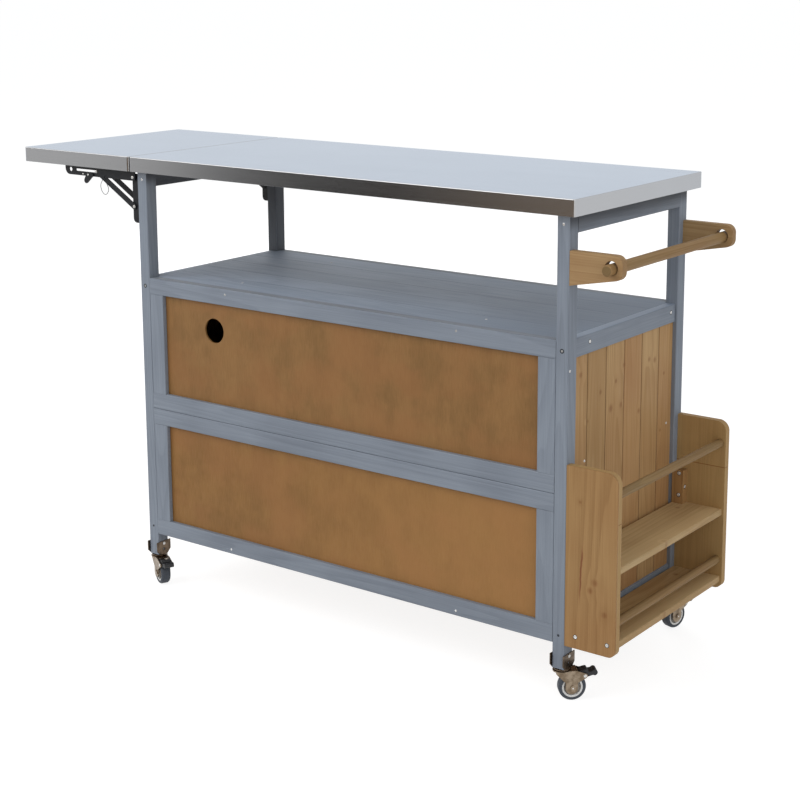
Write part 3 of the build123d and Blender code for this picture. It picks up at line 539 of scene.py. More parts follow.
def rack_marks(axes, colour):
    """A drying crack, and inside each rack side a face made paler with painted light, with the board's
    glue line.
    """
    x, _, z = axes
    outside = rack_outside(axes)
    colour = mixed((1 - outside) * 0.4, colour, RACK_INSIDE_LIGHT)
    line = between(abs(z - GLUE_LINE), JOINT_WIDTH, JOINT_WIDTH * 0.3) * (1 - outside)
    colour = mixed(line * 0.7, colour, OIL_KNOT)
    return mixed(crack_field(x, z) * outside * 0.75, colour, OIL_CRACK)


PLY_PALE = srgb(145, 106, 61)
PLY_DEEP = srgb(120, 87, 46)
PLY_ROSY = srgb(148, 101, 58)
LOWER_PLY_PALE = srgb(147, 106, 58)
LOWER_PLY_DEEP = srgb(121, 86, 43)
LOWER_PLY_RIGHT = srgb(170, 124, 72)
LOWER_PLY_SWEEP = 380 * MM
VENEER_RELIEF = 0.05 * MM


def veneered(pale, deep, right=None):
    """Stained plywood: short upright fibres under soft patches; right is the tone towards the right."""
    def surface(place):
        fibre = between(noise(stretched(place, (480.0, 45.0), ALONG_Z), detail=3.0), 0.3, 0.7)
        streak = between(noise(stretched(place, (60.0, 5.0), ALONG_Z), detail=2.0), 0.3, 0.7)
        patch = between(noise(spread(place, (22.0, 22.0, 16.0)), detail=4.0, roughness=0.6), 0.36, 0.64)
        blush = between(noise(spread(place, (9.0, 9.0, 12.0)), detail=3.0), 0.4, 0.66)
        colour = mixed(fibre * 0.28 + patch * 0.42 + streak * 0.18, pale, deep)
        colour = mixed(blush * 0.5, colour, PLY_ROSY)
        if right is not None:
            sweep = between(parts(place)[0], -LOWER_PLY_SWEEP, LOWER_PLY_SWEEP)
            colour = mixed(sweep * 0.45, colour, right)
        return {
            "Base Color": colour,
            "Roughness": 0.5 + fibre * 0.15,
            "Normal": bumped(fibre, VENEER_RELIEF, soft_edges(place, EDGE_ROUND)),
        }
    return surface


CORE_PALE = srgb(196, 170, 132)
CORE_DEEP = srgb(140, 112, 78)
CHIP_RATE = 260.0
CHIP_RELIEF = 0.2 * MM
SMALL_ROUND = 0.5 * MM


def chipped(place):
    """Pressed wood chips."""
    sockets = {"Vector": place, "Scale": CHIP_RATE}
    chip = place.node("ShaderNodeTexVoronoi", sockets=sockets, output="Color")
    red = chip.node("ShaderNodeSeparateColor", sockets={"Color": chip})
    fine = noise(spread(place, [700.0] * 3))
    return {
        "Base Color": mixed(red * 0.7 + fine * 0.3, CORE_PALE, CORE_DEEP),
        "Roughness": 0.75 + fine * 0.15,
        "Normal": bumped(red, CHIP_RELIEF, soft_edges(place, SMALL_ROUND)),
    }


# Metals, rubber and plastics

STEEL_PALE = srgb(183, 183, 184)
STEEL_DEEP = srgb(174, 174, 175)
STEEL_GRAZING = (0.80, 0.885, 1.0, 1.0)
SHEET_ROUND = 0.6 * MM
PLATE_RELIEF = 0.006 * MM


def brushed(place):
    """Stainless sheet brushed along the cart, with faint rubbed clouds."""
    streak = noise(spread(place, (5.0, 900.0, 900.0)), detail=3.0)
    rub = between(noise(spread(place, (3.0, 7.0, 7.0)), detail=2.0), 0.3, 0.7)
    return {
        "Base Color": mixed(streak * 0.8 + rub * 0.15, STEEL_PALE, STEEL_DEEP),
        "Roughness": 0.15 + streak * 0.09 + rub * 0.012,
        "Normal": bumped(streak, PLATE_RELIEF, soft_edges(place, SHEET_ROUND)),
    }


BLACK_COAT = srgb(20, 22, 27)
BLACK_COAT_WORN = srgb(62, 65, 70)
PEEL_RELIEF = 0.05 * MM


def powder_coated(place):
    """Black powder coat with its fine orange-peel skin and rubbed edges."""
    peel = noise(spread(place, [900.0] * 3), detail=1.0)
    cloud = between(noise(spread(place, [60.0] * 3)), 0.35, 0.7)
    rounded = soft_edges(place, SMALL_ROUND)
    worn = edge_share(place, rounded) * cloud
    return {
        "Base Color": mixed(worn * 0.5, BLACK_COAT, BLACK_COAT_WORN),
        "Roughness": 0.36 + cloud * 0.14,
        "Normal": bumped(peel, PEEL_RELIEF, rounded),
    }


ZINC_PALE = srgb(152, 137, 119)
ZINC_DEEP = srgb(94, 78, 60)
# Painted shade: the caster saddles get a darker copy of the zinc
SADDLE_SHADE_PALE = srgb(112, 97, 82)
SADDLE_SHADE_DEEP = srgb(66, 55, 44)
BRIGHT_PALE = srgb(232, 232, 230)
BRIGHT_DEEP = srgb(190, 188, 184)


def plated(pale, deep):
    """Zinc plate, clouded by handling."""
    def surface(place):
        cloud = between(noise(spread(place, [90.0] * 3), detail=2.0), 0.35, 0.68)
        grit = noise(spread(place, [1400.0] * 3), detail=1.0)
        return {
            "Base Color": mixed(cloud * 0.6 + grit * 0.2, pale, deep),
            "Roughness": 0.22 + cloud * 0.12,
            "Normal": bumped(grit, PLATE_RELIEF, soft_edges(place, SMALL_ROUND)),
        }
    return surface


RUBBER = srgb(64, 69, 77)
RUBBER_DUSTY = srgb(98, 102, 107)
RUBBER_RELIEF = 0.03 * MM


def moulded_rubber(place):
    """Dark rubber with dust in its skin."""
    dust = between(noise(spread(place, [220.0] * 3), detail=3.0), 0.5, 0.75)
    skin = noise(spread(place, [1600.0] * 3), detail=1.0)
    return {
        "Base Color": mixed(dust * 0.4, RUBBER, RUBBER_DUSTY),
        "Roughness": 0.55 + dust * 0.2,
        "Normal": bumped(skin, RUBBER_RELIEF, soft_edges(place, SMALL_ROUND)),
    }


NYLON = srgb(246, 246, 244)
NYLON_SOILED = srgb(214, 210, 202)
# Painted shade: the darker brown of the wheel's recessed web
NYLON_WEB_SHADE = srgb(132, 118, 102)
NYLON_RIM = 15.3 * MM
NYLON_RIM_STEP = 2 * MM


def white_nylon(middle):
    """White nylon whose recessed web, inside the rim, is painted dark brown as its shade, deeper where
    soiled.
    """
    def surface(place):
        soil = between(noise(spread(place, [180.0] * 3), detail=3.0), 0.48, 0.8)
        sockets = {"Vector": place, "Vector_001": middle}
        away = place.node("ShaderNodeVectorMath", {"operation": "DISTANCE"}, sockets, "Value")
        web = between(away, NYLON_RIM + NYLON_RIM_STEP, NYLON_RIM)
        colour = mixed(soil * 0.4, NYLON, NYLON_SOILED)
        return {
            "Base Color": mixed(web * (0.75 + 0.2 * soil), colour, NYLON_WEB_SHADE),
            "Roughness": 0.4 + soil * 0.2,
            "Normal": soft_edges(place, SMALL_ROUND),
        }
    return surface


PLASTIC = srgb(36, 37, 40)
PLASTIC_SCUFFED = srgb(82, 83, 86)
PLASTIC_RELIEF = 0.04 * MM


def black_plastic(place):
    """Black moulded plastic with a spark-eroded skin and scuffed edges."""
    skin = noise(spread(place, [1500.0] * 3), detail=1.0)
    rounded = soft_edges(place, SMALL_ROUND)
    return {
        "Base Color": mixed(edge_share(place, rounded) * skin, PLASTIC, PLASTIC_SCUFFED),
        "Roughness": 0.42 + skin * 0.2,
        "Normal": bumped(skin, PLASTIC_RELIEF, rounded),
    }


BRASS_PALE = srgb(206, 176, 110)
BRASS_DEEP = srgb(150, 118, 66)
BRASS_ROUND = 0.4 * MM


def plain_brass(place):
    """Brass that has begun to tarnish."""
    tarnish = between(noise(spread(place, [160.0] * 3), detail=3.0), 0.4, 0.7)
    return {
        "Base Color": mixed(tarnish, BRASS_PALE, BRASS_DEEP),
        "Roughness": 0.26 + tarnish * 0.2,
        "Normal": soft_edges(place, BRASS_ROUND),
    }


# Painted shade: dark discs round the screws stand for the shade in their recesses
WELL_SHADE_DARK = srgb(40, 42, 46)
WELL_SHADE_RIM = srgb(70, 74, 80)


def drilled(place):
    """Painted shade: a dark disc on the surface that stands for the shade in a screw's recess."""
    fleck = noise(spread(place, [900.0] * 3))
    return {
        "Base Color": mixed(fleck, WELL_SHADE_DARK, WELL_SHADE_RIM),
        "Roughness": 0.7 + fleck * 0.2,
    }


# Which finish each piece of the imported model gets

DECK_BOARDS = 5
FLOOR_BOARDS = 4
FRAME_RAIL = 33 * MM
FRAME_STILE = 36 * MM


def stile_mask(node):
    """A mask of a framed panel's upright members, from the frame's own box."""
    low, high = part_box(node)
    middle = (low.x + high.x) / 2
    reach = (high.x - low.x) / 2 - FRAME_STILE

    def mask(x, z):
        outside = abs(x - middle).math("GREATER_THAN", abs(x - middle), reach)
        above = z.math("GREATER_THAN", z, low.z + FRAME_RAIL)
        below = z.math("LESS_THAN", z, high.z - FRAME_RAIL)
        return outside * above * below
    return mask


def plank_layout(node, count):
    low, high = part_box(node)
    return low.y, (high.y - low.y) / count


def dress(material, *names):
    for name in names:
        nodes[name].material_slots[0].material = material


def dress_frame():
    paint = {"IOR": 1.45, "Specular IOR Level": 0.35}
    legs = ("leg_back_left", "leg_back_right", "leg_front_right")
    dress(finish("grey_legs", paint, painted(ALONG_Z, extra=leg_shade)), *legs)
    corner_paint = painted(ALONG_Z, extra=corner_leg_shade)
    dress(finish("grey_corner_leg", paint, corner_paint), "leg_front_left")
    dress(finish("grey_aprons", paint, painted(ALONG_Y, extra=apron_shade)), "end_aprons")
    # The side rails' upward faces get the deck's painted light
    cross_paint = painted(ALONG_Y, pale_top=True)
    dress(finish("grey_cross_rails", paint, cross_paint), "side_rails_left", "side_rails_right")
    dress(finish("grey_long_rails", paint, painted(ALONG_X)), "front_rails")
    for node in ("back_frame_upper", "back_frame_lower", "door_left_frame", "door_right_frame"):
        dress(finish(f"grey_{node}", paint, painted(ALONG_X, stiles=stile_mask(node))), node)
    deck = plank_layout("deck_boards", DECK_BOARDS)
    deck_paint = painted(ALONG_X, DECK_LIT_PALE, DECK_LIT_DEEP, planks=deck, end=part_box("deck_boards")[1].x)
    dress(finish("grey_deck", paint, deck_paint), "deck_boards")


def dress_wood():
    oil = {"IOR": 1.45, "Specular IOR Level": 0.3}
    wall_finish = oiled(ALONG_Z, WALL_KNOTS, ALONG_Y, WALL_BOARDS, WALL_PALE, WALL_DEEP, extra=wall_tints)
    dress(finish("oiled_wall_boards", oil, wall_finish), "side_boards_left", "side_boards_right")
    rack_finish = oiled(ALONG_Z, RACK_KNOTS, ALONG_X, knotted=rack_outside, extra=rack_marks, end=0.1)
    dress(finish("oiled_rack_sides", oil, rack_finish), "rack_sides")
    shelf_finish = oiled(
        ALONG_Y, SHELF_KNOTS, ALONG_X, pale=SHELF_PALE, deep=SHELF_DEEP, extra=shelf_front_light)
    dress(finish("oiled_rack_shelves", oil, shelf_finish), "rack_shelves")
    dowel_finish = oiled(ALONG_Y, pale=DOWEL_PALE, deep=DOWEL_DEEP)
    dress(finish("oiled_dowels", oil, dowel_finish), "rack_dowels")
    dress(finish("oiled_battens", oil, oiled(ALONG_Y)), "support_battens")
    rod_finish = oiled(ALONG_Y, pale=ROD_PALE, deep=ROD_DEEP, end=0.9)
    dress(finish("oiled_towel_rod", oil, rod_finish), "towel_rod")
    dress(finish("oiled_blocks", oil, oiled(ALONG_Z)), "rack_blocks", "door_left_knob", "door_right_knob")
    handle_finish = oiled(ALONG_X, pale=HANDLE_PALE, deep=HANDLE_DEEP)
    dress(finish("oiled_handles", oil, handle_finish), "handle_brackets")
    floor = plank_layout("floor_boards", FLOOR_BOARDS)
    dress(finish("oiled_floor", oil, oiled(ALONG_X, boards=floor)), "floor_boards")
    gloss = {"Specular IOR Level": 0.3}
    panels = ("back_panel_upper", "door_left_panel", "door_right_panel", "middle_shelf")
    dress(finish("stained_plywood", gloss, veneered(PLY_PALE, PLY_DEEP)), *panels)
    lower = veneered(LOWER_PLY_PALE, LOWER_PLY_DEEP, LOWER_PLY_RIGHT)
    dress(finish("stained_plywood_lower", gloss, lower), "back_panel_lower")
    dress(finish("chip_core", {"Specular IOR Level": 0.2}, chipped), "worktop_core", "leaf_core")


def dress_metal():
    metal = {"Metallic": 1.0}
    sheet = finish("brushed_sheet", {"Metallic": 1.0, "Specular Tint": STEEL_GRAZING}, brushed)
    dress(sheet, "worktop_steel", "leaf_steel")
    levers = ("strut_back", "strut_front", "release_lever_back", "release_lever_front")
    coat = finish("black_coat", {"Specular IOR Level": 0.35}, powder_coated)
    dress(coat, "bracket_wall_arms", "leaf_arms", *levers)
    zinc = finish("zinc_plate", metal, plated(ZINC_PALE, ZINC_DEEP))
    rubber = finish("tyre_rubber", {"Specular IOR Level": 0.3}, moulded_rubber)
    plastic = finish("pedal_plastic", {"Specular IOR Level": 0.4}, black_plastic)
    brass = finish("hinge_brass", metal, plain_brass)
    # Painted shade: the saddles' darker zinc
    saddle_shade_finish = finish("saddle_plate_shaded", metal, plated(SADDLE_SHADE_PALE, SADDLE_SHADE_DEEP))
    dress(saddle_shade_finish, "caster_saddles")
    dress(brass, "leg_hinges", "door_left_hinges", "door_right_hinges")
    for corner in CORNERS:
        dress(zinc, f"caster_{corner}_fork")
        dress(rubber, f"caster_{corner}_tyre")
        low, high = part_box(f"caster_{corner}_hub")
        nylon = white_nylon(tuple((low + high) / 2))
        dress(finish(f"nylon_{corner}", {"Specular IOR Level": 0.4}, nylon), f"caster_{corner}_hub")
        dress(plastic, f"caster_{corner}_pedal")
    return coat


# Fasteners: heads set on points by geometry nodes

def head_tree(name, sizes, shape):
    """A tree that sets one head on every point, facing the way the point's own vector says."""
    tree = bpy.data.node_groups.new(name, "GeometryNodeTree")
    tree.interface.new_socket("Points", in_out="INPUT", socket_type="NodeSocketGeometry")
    for label in sizes:
        tree.interface.new_socket(label, in_out="INPUT", socket_type="NodeSocketFloat")
    tree.interface.new_socket("Seed", in_out="INPUT", socket_type="NodeSocketInt")
    tree.interface.new_socket("Finish", in_out="INPUT", socket_type="NodeSocketMaterial")
    tree.interface.new_socket("Heads", in_out="OUTPUT", socket_type="NodeSocketGeometry")
    points = Wire(tree).node("NodeGroupInput")
    way = points.node(
        "GeometryNodeInputNamedAttribute", {"data_type": "FLOAT_VECTOR"}, {"Name": "facing"}, "Attribute")
    upright = points.node(
        "FunctionNodeAlignRotationToVector", {"axis": "Z"}, {"Vector": way}, "Rotation")
    spin = points.node(
        "FunctionNodeRandomValue", {"data_type": "FLOAT"},
        {"Min_001": 0.0, "Max_001": tau, "Seed": points.other("Seed")}, "Value_001")
    turn = points.node(
        "FunctionNodeAxisAngleToRotation", None, {"Axis": (0, 0, 1), "Angle": spin}, "Rotation")
    rotation = points.node(
        "FunctionNodeRotateRotation", {"rotation_space": "LOCAL"},
        {"Rotation": upright, "Rotate By": turn}, "Rotation")
    heads = points.node(
        "GeometryNodeInstanceOnPoints", None,
        {"Points": points, "Instance": shape(points), "Rotation": rotation}, "Instances")
    real = points.node("GeometryNodeRealizeInstances", None, {"Geometry": heads}, "Geometry")
    sockets = {"Geometry": real, "Material": points.other("Finish")}
    covered = points.node("GeometryNodeSetMaterial", None, sockets, "Geometry")
    end = tree.nodes.new("NodeGroupOutput")
    tree.links.new(covered.socket, end.inputs["Heads"])
    return tree


DOME_SEGMENTS = 16
DOME_RINGS = 8
DISC_SEGMENTS = 20

# The cross recess, as shares of the head's radius and height
RECESS_LENGTH = 1.25
RECESS_WIDTH = 0.28
RECESS_DEPTH = 1.1


def dome(start):
    """A low dome, half sunk."""
    radius, height = start.other("Radius"), start.other("Height")
    ball = start.node(
        "GeometryNodeMeshUVSphere", None,
        {"Segments": DOME_SEGMENTS, "Rings": DOME_RINGS, "Radius": radius}, "Mesh")
    flat = start.node("ShaderNodeCombineXYZ", None, {"X": 1.0, "Y": 1.0, "Z": height / radius})
    return start.node("GeometryNodeTransform", None, {"Geometry": ball, "Scale": flat}, "Geometry")


def crossed_dome(start):
    """A screw head: a low dome with a cross recess."""
    radius, height = start.other("Radius"), start.other("Height")
    lift = start.node("ShaderNodeCombineXYZ", None, {"Z": height})
    arms = []
    for long_axis, short_axis in (("X", "Y"), ("Y", "X")):
        spans = {long_axis: radius * RECESS_LENGTH, short_axis: radius * RECESS_WIDTH}
        size = start.node("ShaderNodeCombineXYZ", None, {**spans, "Z": height * RECESS_DEPTH})
        arm = start.node("GeometryNodeMeshCube", None, {"Size": size}, "Mesh")
        sockets = {"Geometry": arm, "Translation": lift}
        arms.append(start.node("GeometryNodeTransform", None, sockets, "Geometry"))
    return start.node(
        "GeometryNodeMeshBoolean", {"operation": "DIFFERENCE", "solver": "EXACT"},
        {"Mesh 1": dome(start), "Mesh 2": arms}, "Mesh")


def disc(segments):
    """A flat round or many-sided head, half sunk."""
    def shape(start):
        radius, height = start.other("Radius"), start.other("Height")
        sockets = {"Vertices": segments, "Radius": radius, "Depth": height * 2}
        return start.node("GeometryNodeMeshCylinder", None, sockets, "Mesh")
    return shape


HEAD_SIZES = ("Radius", "Height")
SCREW_HEADS = head_tree("screw_heads", HEAD_SIZES, crossed_dome)
RIVET_HEADS = head_tree("rivet_heads", HEAD_SIZES, dome)
FLAT_HEADS = head_tree("flat_heads", HEAD_SIZES, disc(DISC_SEGMENTS))
HEAD_SEED = 7


def set_heads(name, body, tree, material, radius, height, places):
    """One mesh of heads that ride on a body; each place is a point and the way the head faces."""
    mesh = bpy.data.meshes.new(name)
    mesh.from_pydata([point for point, way in places], [], [])
    ways = mesh.attributes.new("facing", "FLOAT_VECTOR", "POINT")
    for entry, (point, way) in zip(ways.data, places):
        entry.vector = way
    piece = add_object(name, mesh)
    modifier = piece.modifiers.new("heads", "NODES")
    modifier.node_group = tree
    values = {"Radius": radius, "Height": height, "Seed": HEAD_SEED, "Finish": material}
    for item in tree.interface.items_tree:
        if item.in_out == "INPUT" and item.name in values:
            modifier[item.identifier] = values[item.name]
    ready = piece.evaluated_get(bpy.context.evaluated_depsgraph_get())
    solid = bpy.data.meshes.new_from_object(ready)
    piece.modifiers.clear()
    piece.data = solid
    solid.name = name
    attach(piece, body)
    return piece


SCREW_RADIUS = 3.4 * MM
SCREW_HEIGHT = 1.0 * MM
WELL_RADIUS = 4.2 * MM
WELL_HEIGHT = 0.2 * MM
SUNK_RADIUS = 2.3 * MM
SUNK_HEIGHT = 0.4 * MM
SMALL_RADIUS = 2.6 * MM
NAIL_RADIUS = 2.2 * MM
NAIL_HEIGHT = 0.4 * MM
LEG_SCREW_DROP = 17 * MM
DECK_SCREW_DROP = 17.5 * MM
SIDE_SCREW_HEIGHT = 601 * MM
SIDE_SCREW_OFFSET = -8 * MM
RAIL_SCREW_YS = (-130 * MM, 165 * MM)
RAIL_SCREW_DROP = 14 * MM
WALL_SCREW_YS = (-136 * MM, 164 * MM)
WALL_SCREW_HEIGHT = 424.5 * MM
RAIL_NAIL_X = 277.5 * MM
RAIL_NAIL_DROP = 10.7 * MM
DECK_NAIL_X = 294.7 * MM
DECK_NAIL_Y = 139.5 * MM
RACK_SCREW_XS = (22 * MM, 85.5 * MM)
RACK_SCREW_RISE = 21.5 * MM
BLOCK_SCREW_RISES = (17 * MM, 60 * MM)
BLOCK_SCREW_SHIFT = 3 * MM
EAR_SCREW_HEIGHT = 84.3 * MM
LOWER_SCREW_RISE = 15.5 * MM
LOWER_NAIL_RISE = 9.5 * MM
BLOCK_DEPTH = 17 * MM
ROWS_AND_SIDES = [(row, side) for row in (BACK, FRONT) for side in (LEFT, RIGHT)]


def leg_screws(height):
    """One screw through the outer face of each leg."""
    return [((side * LEG_MID_X, row * LEG_OUT_Y, height), (0, row, 0)) for row, side in ROWS_AND_SIDES]


def rail_screws():
    """Screws through the side rails' outer faces."""
    height = DECK_TOP - RAIL_SCREW_DROP
    return [
        ((side * SIDE_RAIL_OUT, y, height), (side, 0, 0))
        for side in (LEFT, RIGHT)
        for y in RAIL_SCREW_YS
    ]


def small_screws():
    """The smaller screws on the end walls and on the ends of the legs at the back."""
    places = []
    for side in (LEFT, RIGHT):
        for y in WALL_SCREW_YS:
            places.append(((side * WALL_FACE, y, WALL_SCREW_HEIGHT), (side, 0, 0)))
        y = BACK * LEG_MID_Y + SIDE_SCREW_OFFSET
        places.append(((side * LEG_OUT_X, y, SIDE_SCREW_HEIGHT), (side, 0, 0)))
    return places


def rack_screws():
    """Screws through the rack sides into the lower shelf, and through the blocks."""
    low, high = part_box("rack_blocks")
    block_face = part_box("rack_shelves")[1].y - BLOCK_DEPTH
    places = []
    for row in (BACK, FRONT):
        for x in RACK_SCREW_XS:
            places.append(((LEG_OUT_X + x, row * LEG_OUT_Y, RACK_BOTTOM + RACK_SCREW_RISE), (0, row, 0)))
        for rise in BLOCK_SCREW_RISES:
            x = (low.x + high.x) / 2 + BLOCK_SCREW_SHIFT
            places.append(((x, row * block_face, low.z + rise), (0, -row, 0)))
        places.append(((high.x, row * (high.y - BLOCK_DEPTH / 2), (low.z + high.z) / 2), (1, 0, 0)))
    return places


def ear_screws():
    """A screw in each ear of the caster saddles."""
    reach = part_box("caster_saddles")[1].x - LEG_MID_X
    return [
        ((side * LEG_MID_X + way * reach, row * LEG_MID_Y, EAR_SCREW_HEIGHT), (way, 0, 0))
        for row, side in ROWS_AND_SIDES
        for way in (LEFT, RIGHT)
    ]


def nails():
    """Nails in the long rails and at the ends of the deck boards."""
    places = []
    for row, side in ROWS_AND_SIDES:
        places.append(((side * DECK_NAIL_X, row * DECK_NAIL_Y, DECK_TOP), (0, 0, 1)))
        if row == BACK:
            for height in (DECK_TOP - RAIL_NAIL_DROP, CABINET_BOTTOM + LOWER_NAIL_RISE):
                places.append(((side * RAIL_NAIL_X, row * LEG_OUT_Y, height), (0, row, 0)))
    return places


def set_screws(bright):
    well = finish("painted_well_shade", {"Specular IOR Level": 0.2}, drilled)
    top_screws = leg_screws(LEG_TOP - LEG_SCREW_DROP)
    sunk_screws = leg_screws(DECK_TOP - DECK_SCREW_DROP)
    lower_screws = leg_screws(CABINET_BOTTOM + LOWER_SCREW_RISE)
    wide_screws = rail_screws() + rack_screws()
    # Dark discs under the screws are painted shade of their recesses
    for name, radius, places in (
        ("lower_well_shades", SUNK_RADIUS, lower_screws),
        ("screw_well_shades", WELL_RADIUS, wide_screws + sunk_screws),
    ):
        set_heads(name, "cart", FLAT_HEADS, well, radius, WELL_HEIGHT, places)
    for name, radius, height, places in (
        ("wide_screws", SCREW_RADIUS, SCREW_HEIGHT, wide_screws),
        ("leg_screws", SMALL_RADIUS, SUNK_HEIGHT, top_screws),
        ("sunk_screws", SUNK_RADIUS, SUNK_HEIGHT, sunk_screws),
        ("small_screws", SMALL_RADIUS, SCREW_HEIGHT, small_screws()),
        ("ear_screws", SCREW_RADIUS, SCREW_HEIGHT, ear_screws()),
    ):
        set_heads(name, "cart", SCREW_HEADS, bright, radius, height, places)
    set_heads("nails", "cart", FLAT_HEADS, bright, NAIL_RADIUS, NAIL_HEIGHT, nails())


# Folding brackets: rivets, the screws that hold the arms, and the wire ring under the near leaf arm

FOLD_PIVOT = joints["leaf_fold"]["pos_m"]
STRUT_PIVOT = joints["strut_front_swing"]["pos_m"]
LEVER_PIVOT = joints["lever_front_press"]["pos_m"]
STRUT_PIN = (-627 * MM, LEG_MID_Y, 860 * MM)
ARM_RIVET = (-666 * MM, LEG_MID_Y, 852.5 * MM)
RIVET_RADIUS = 3.4 * MM
RIVET_HEIGHT = 1.2 * MM
FLUSH_HEIGHT = 0.4 * MM
SLOT_PLAY = 0.1 * MM
SMALL_RIVET_RADIUS = 2.0 * MM
SMALL_RIVET_HEIGHT = 0.7 * MM
ARM_OUT_Y = 211.5 * MM
ARM_SCREW_XS = (-700 * MM, -575 * MM)
FLANGE_UNDER = 868 * MM
WALL_PLATE_X = -512 * MM
WALL_SCREW_ZS = (785 * MM, 838 * MM)

# The wire ring: X and Z of its bends in millimetres
RING_BENDS = (
    (-601, 853), (-607, 845), (-615, 834), (-611, 820),
    (-601, 813), (-592, 820), (-590, 829), (-596, 837),
)
RING_WIRE = 0.55 * MM
RING_ROUNDNESS = 3
RING_ORDER = 3


def rivet_at(pivot, out_y, row):
    x, _, z = pivot
    return ((x, row * out_y, z), (0, row, 0))


def set_brackets(bright, coat):
    wall_pin_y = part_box("bracket_wall_arms")[1].y
    strut_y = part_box("strut_front")[1].y
    lever_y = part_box("release_lever_front")[1].y
    rows = (BACK, FRONT)
    heads = []
    for row, name in zip(rows, ("back", "front")):
        root = [rivet_at(STRUT_PIVOT, strut_y, row)]
        pin = [rivet_at(STRUT_PIN, ARM_OUT_Y + SLOT_PLAY, row)]
        strut = f"strut_{name}"
        heads.append((f"strut_rivets_{name}", strut, RIVET_HEADS, RIVET_RADIUS, FLUSH_HEIGHT, root))
        heads.append((f"slot_rivets_{name}", strut, RIVET_HEADS, RIVET_RADIUS, RIVET_HEIGHT, pin))
    fold = [rivet_at(FOLD_PIVOT, wall_pin_y, row) for row in rows]
    heads.append(("fold_rivets", "cart", RIVET_HEADS, RIVET_RADIUS, RIVET_HEIGHT, fold))
    lever = [rivet_at(LEVER_PIVOT, lever_y, row) for row in rows]
    lever += [rivet_at(ARM_RIVET, ARM_OUT_Y, row) for row in rows]
    heads.append(("lever_rivets", "leaf", RIVET_HEADS, SMALL_RIVET_RADIUS, SMALL_RIVET_HEIGHT, lever))
    under = [((x, row * LEG_MID_Y, FLANGE_UNDER), (0, 0, -1)) for row in rows for x in ARM_SCREW_XS]
    heads.append(("leaf_arm_screws", "leaf", SCREW_HEADS, SCREW_RADIUS, SCREW_HEIGHT, under))
    wall = [((WALL_PLATE_X, row * LEG_MID_Y, z), (-1, 0, 0)) for row in rows for z in WALL_SCREW_ZS]
    heads.append(("wall_arm_screws", "cart", SCREW_HEADS, SCREW_RADIUS, SCREW_HEIGHT, wall))
    for name, body, tree, radius, height, places in heads:
        set_heads(name, body, tree, bright, radius, height, places)
    wire_ring(coat)


def wire_ring(coat):
    """A thin split ring of wire that hangs from the near leaf arm."""
    y = BACK * (ARM_OUT_Y + RING_WIRE)
    curve = bpy.data.curves.new("ring_path", "CURVE")
    curve.dimensions = "3D"
    curve.bevel_depth = RING_WIRE
    curve.bevel_resolution = RING_ROUNDNESS
    curve.use_fill_caps = True
    path = curve.splines.new("NURBS")
    path.points.add(len(RING_BENDS) - 1)
    for point, (x, z) in zip(path.points, RING_BENDS):
        point.co = (x * MM, y, z * MM, 1.0)
    path.use_endpoint_u = True
    path.order_u = RING_ORDER
    drawn = add_object("ring_path", curve)
    mesh = bpy.data.meshes.new_from_object(drawn.evaluated_get(bpy.context.evaluated_depsgraph_get()))
    bpy.data.objects.remove(drawn)
    ring = add_object("wire_ring", mesh)
    mesh.materials.clear()
    mesh.materials.append(coat)
    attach(ring, "leaf")


# Casters: an axle cap and pedal rivets on each fork, square to its wheel

FORK_HALF = 13.5 * MM
AXLE_HEAD = 1.5 * MM
CAP_RADIUS = 4.2 * MM
CAP_HEIGHT = 1.6 * MM
PEDAL_RIVET_RADIUS = 3.0 * MM
PEDAL_RIVET_HEIGHT = 1.0 * MM


def set_caster_caps(bright):
    for corner in CORNERS:
        axle = joints[f"wheel_{corner}_roll"]
        axis = Vector(axle["axis"])
        wheel = Vector(axle["pos_m"])
        pedal = Vector(joints[f"brake_{corner}_press"]["pos_m"])
        caps = [(wheel - axis * FORK_HALF, -axis), (wheel + axis * (FORK_HALF + AXLE_HEAD), axis)]
        set_heads(f"axle_caps_{corner}", f"caster_{corner}", RIVET_HEADS, bright,
                  CAP_RADIUS, CAP_HEIGHT, caps)
        pins = [(pedal + axis * FORK_HALF * way, axis * way) for way in (LEFT, RIGHT)]
        set_heads(f"pedal_rivets_{corner}", f"caster_{corner}", RIVET_HEADS, bright,
                  PEDAL_RIVET_RADIUS, PEDAL_RIVET_HEIGHT, pins)


# Studio

WHITE = (1.0, 1.0, 1.0, 1.0)
FLOOR_REACH = 40.0
FLOOR_COLOUR = (0.8, 0.8, 0.8, 1.0)
SHADOW_SHARE = (0.34, 0.34, 0.34, 1.0)
FLOOR_GLOW = 0.84
AMBIENT = 0.48
AMBIENT_COLOUR = (0.96, 0.98, 1.0, 1.0)
KEY_PLACE = (-2.8, -4.2, 4.0)
KEY_SIZE = 5.0
KEY_POWER = 190.0
FILL_PLACE = (4.0, -1.8, 2.4)
FILL_SIZE = 3.6
FILL_POWER = 52.0
REAR_PLACE = (-3.6, 3.0, 2.1)
REAR_SIZE = 3.0
REAR_POWER = 70.0
AIM = (0.0, 0.0, 0.5)

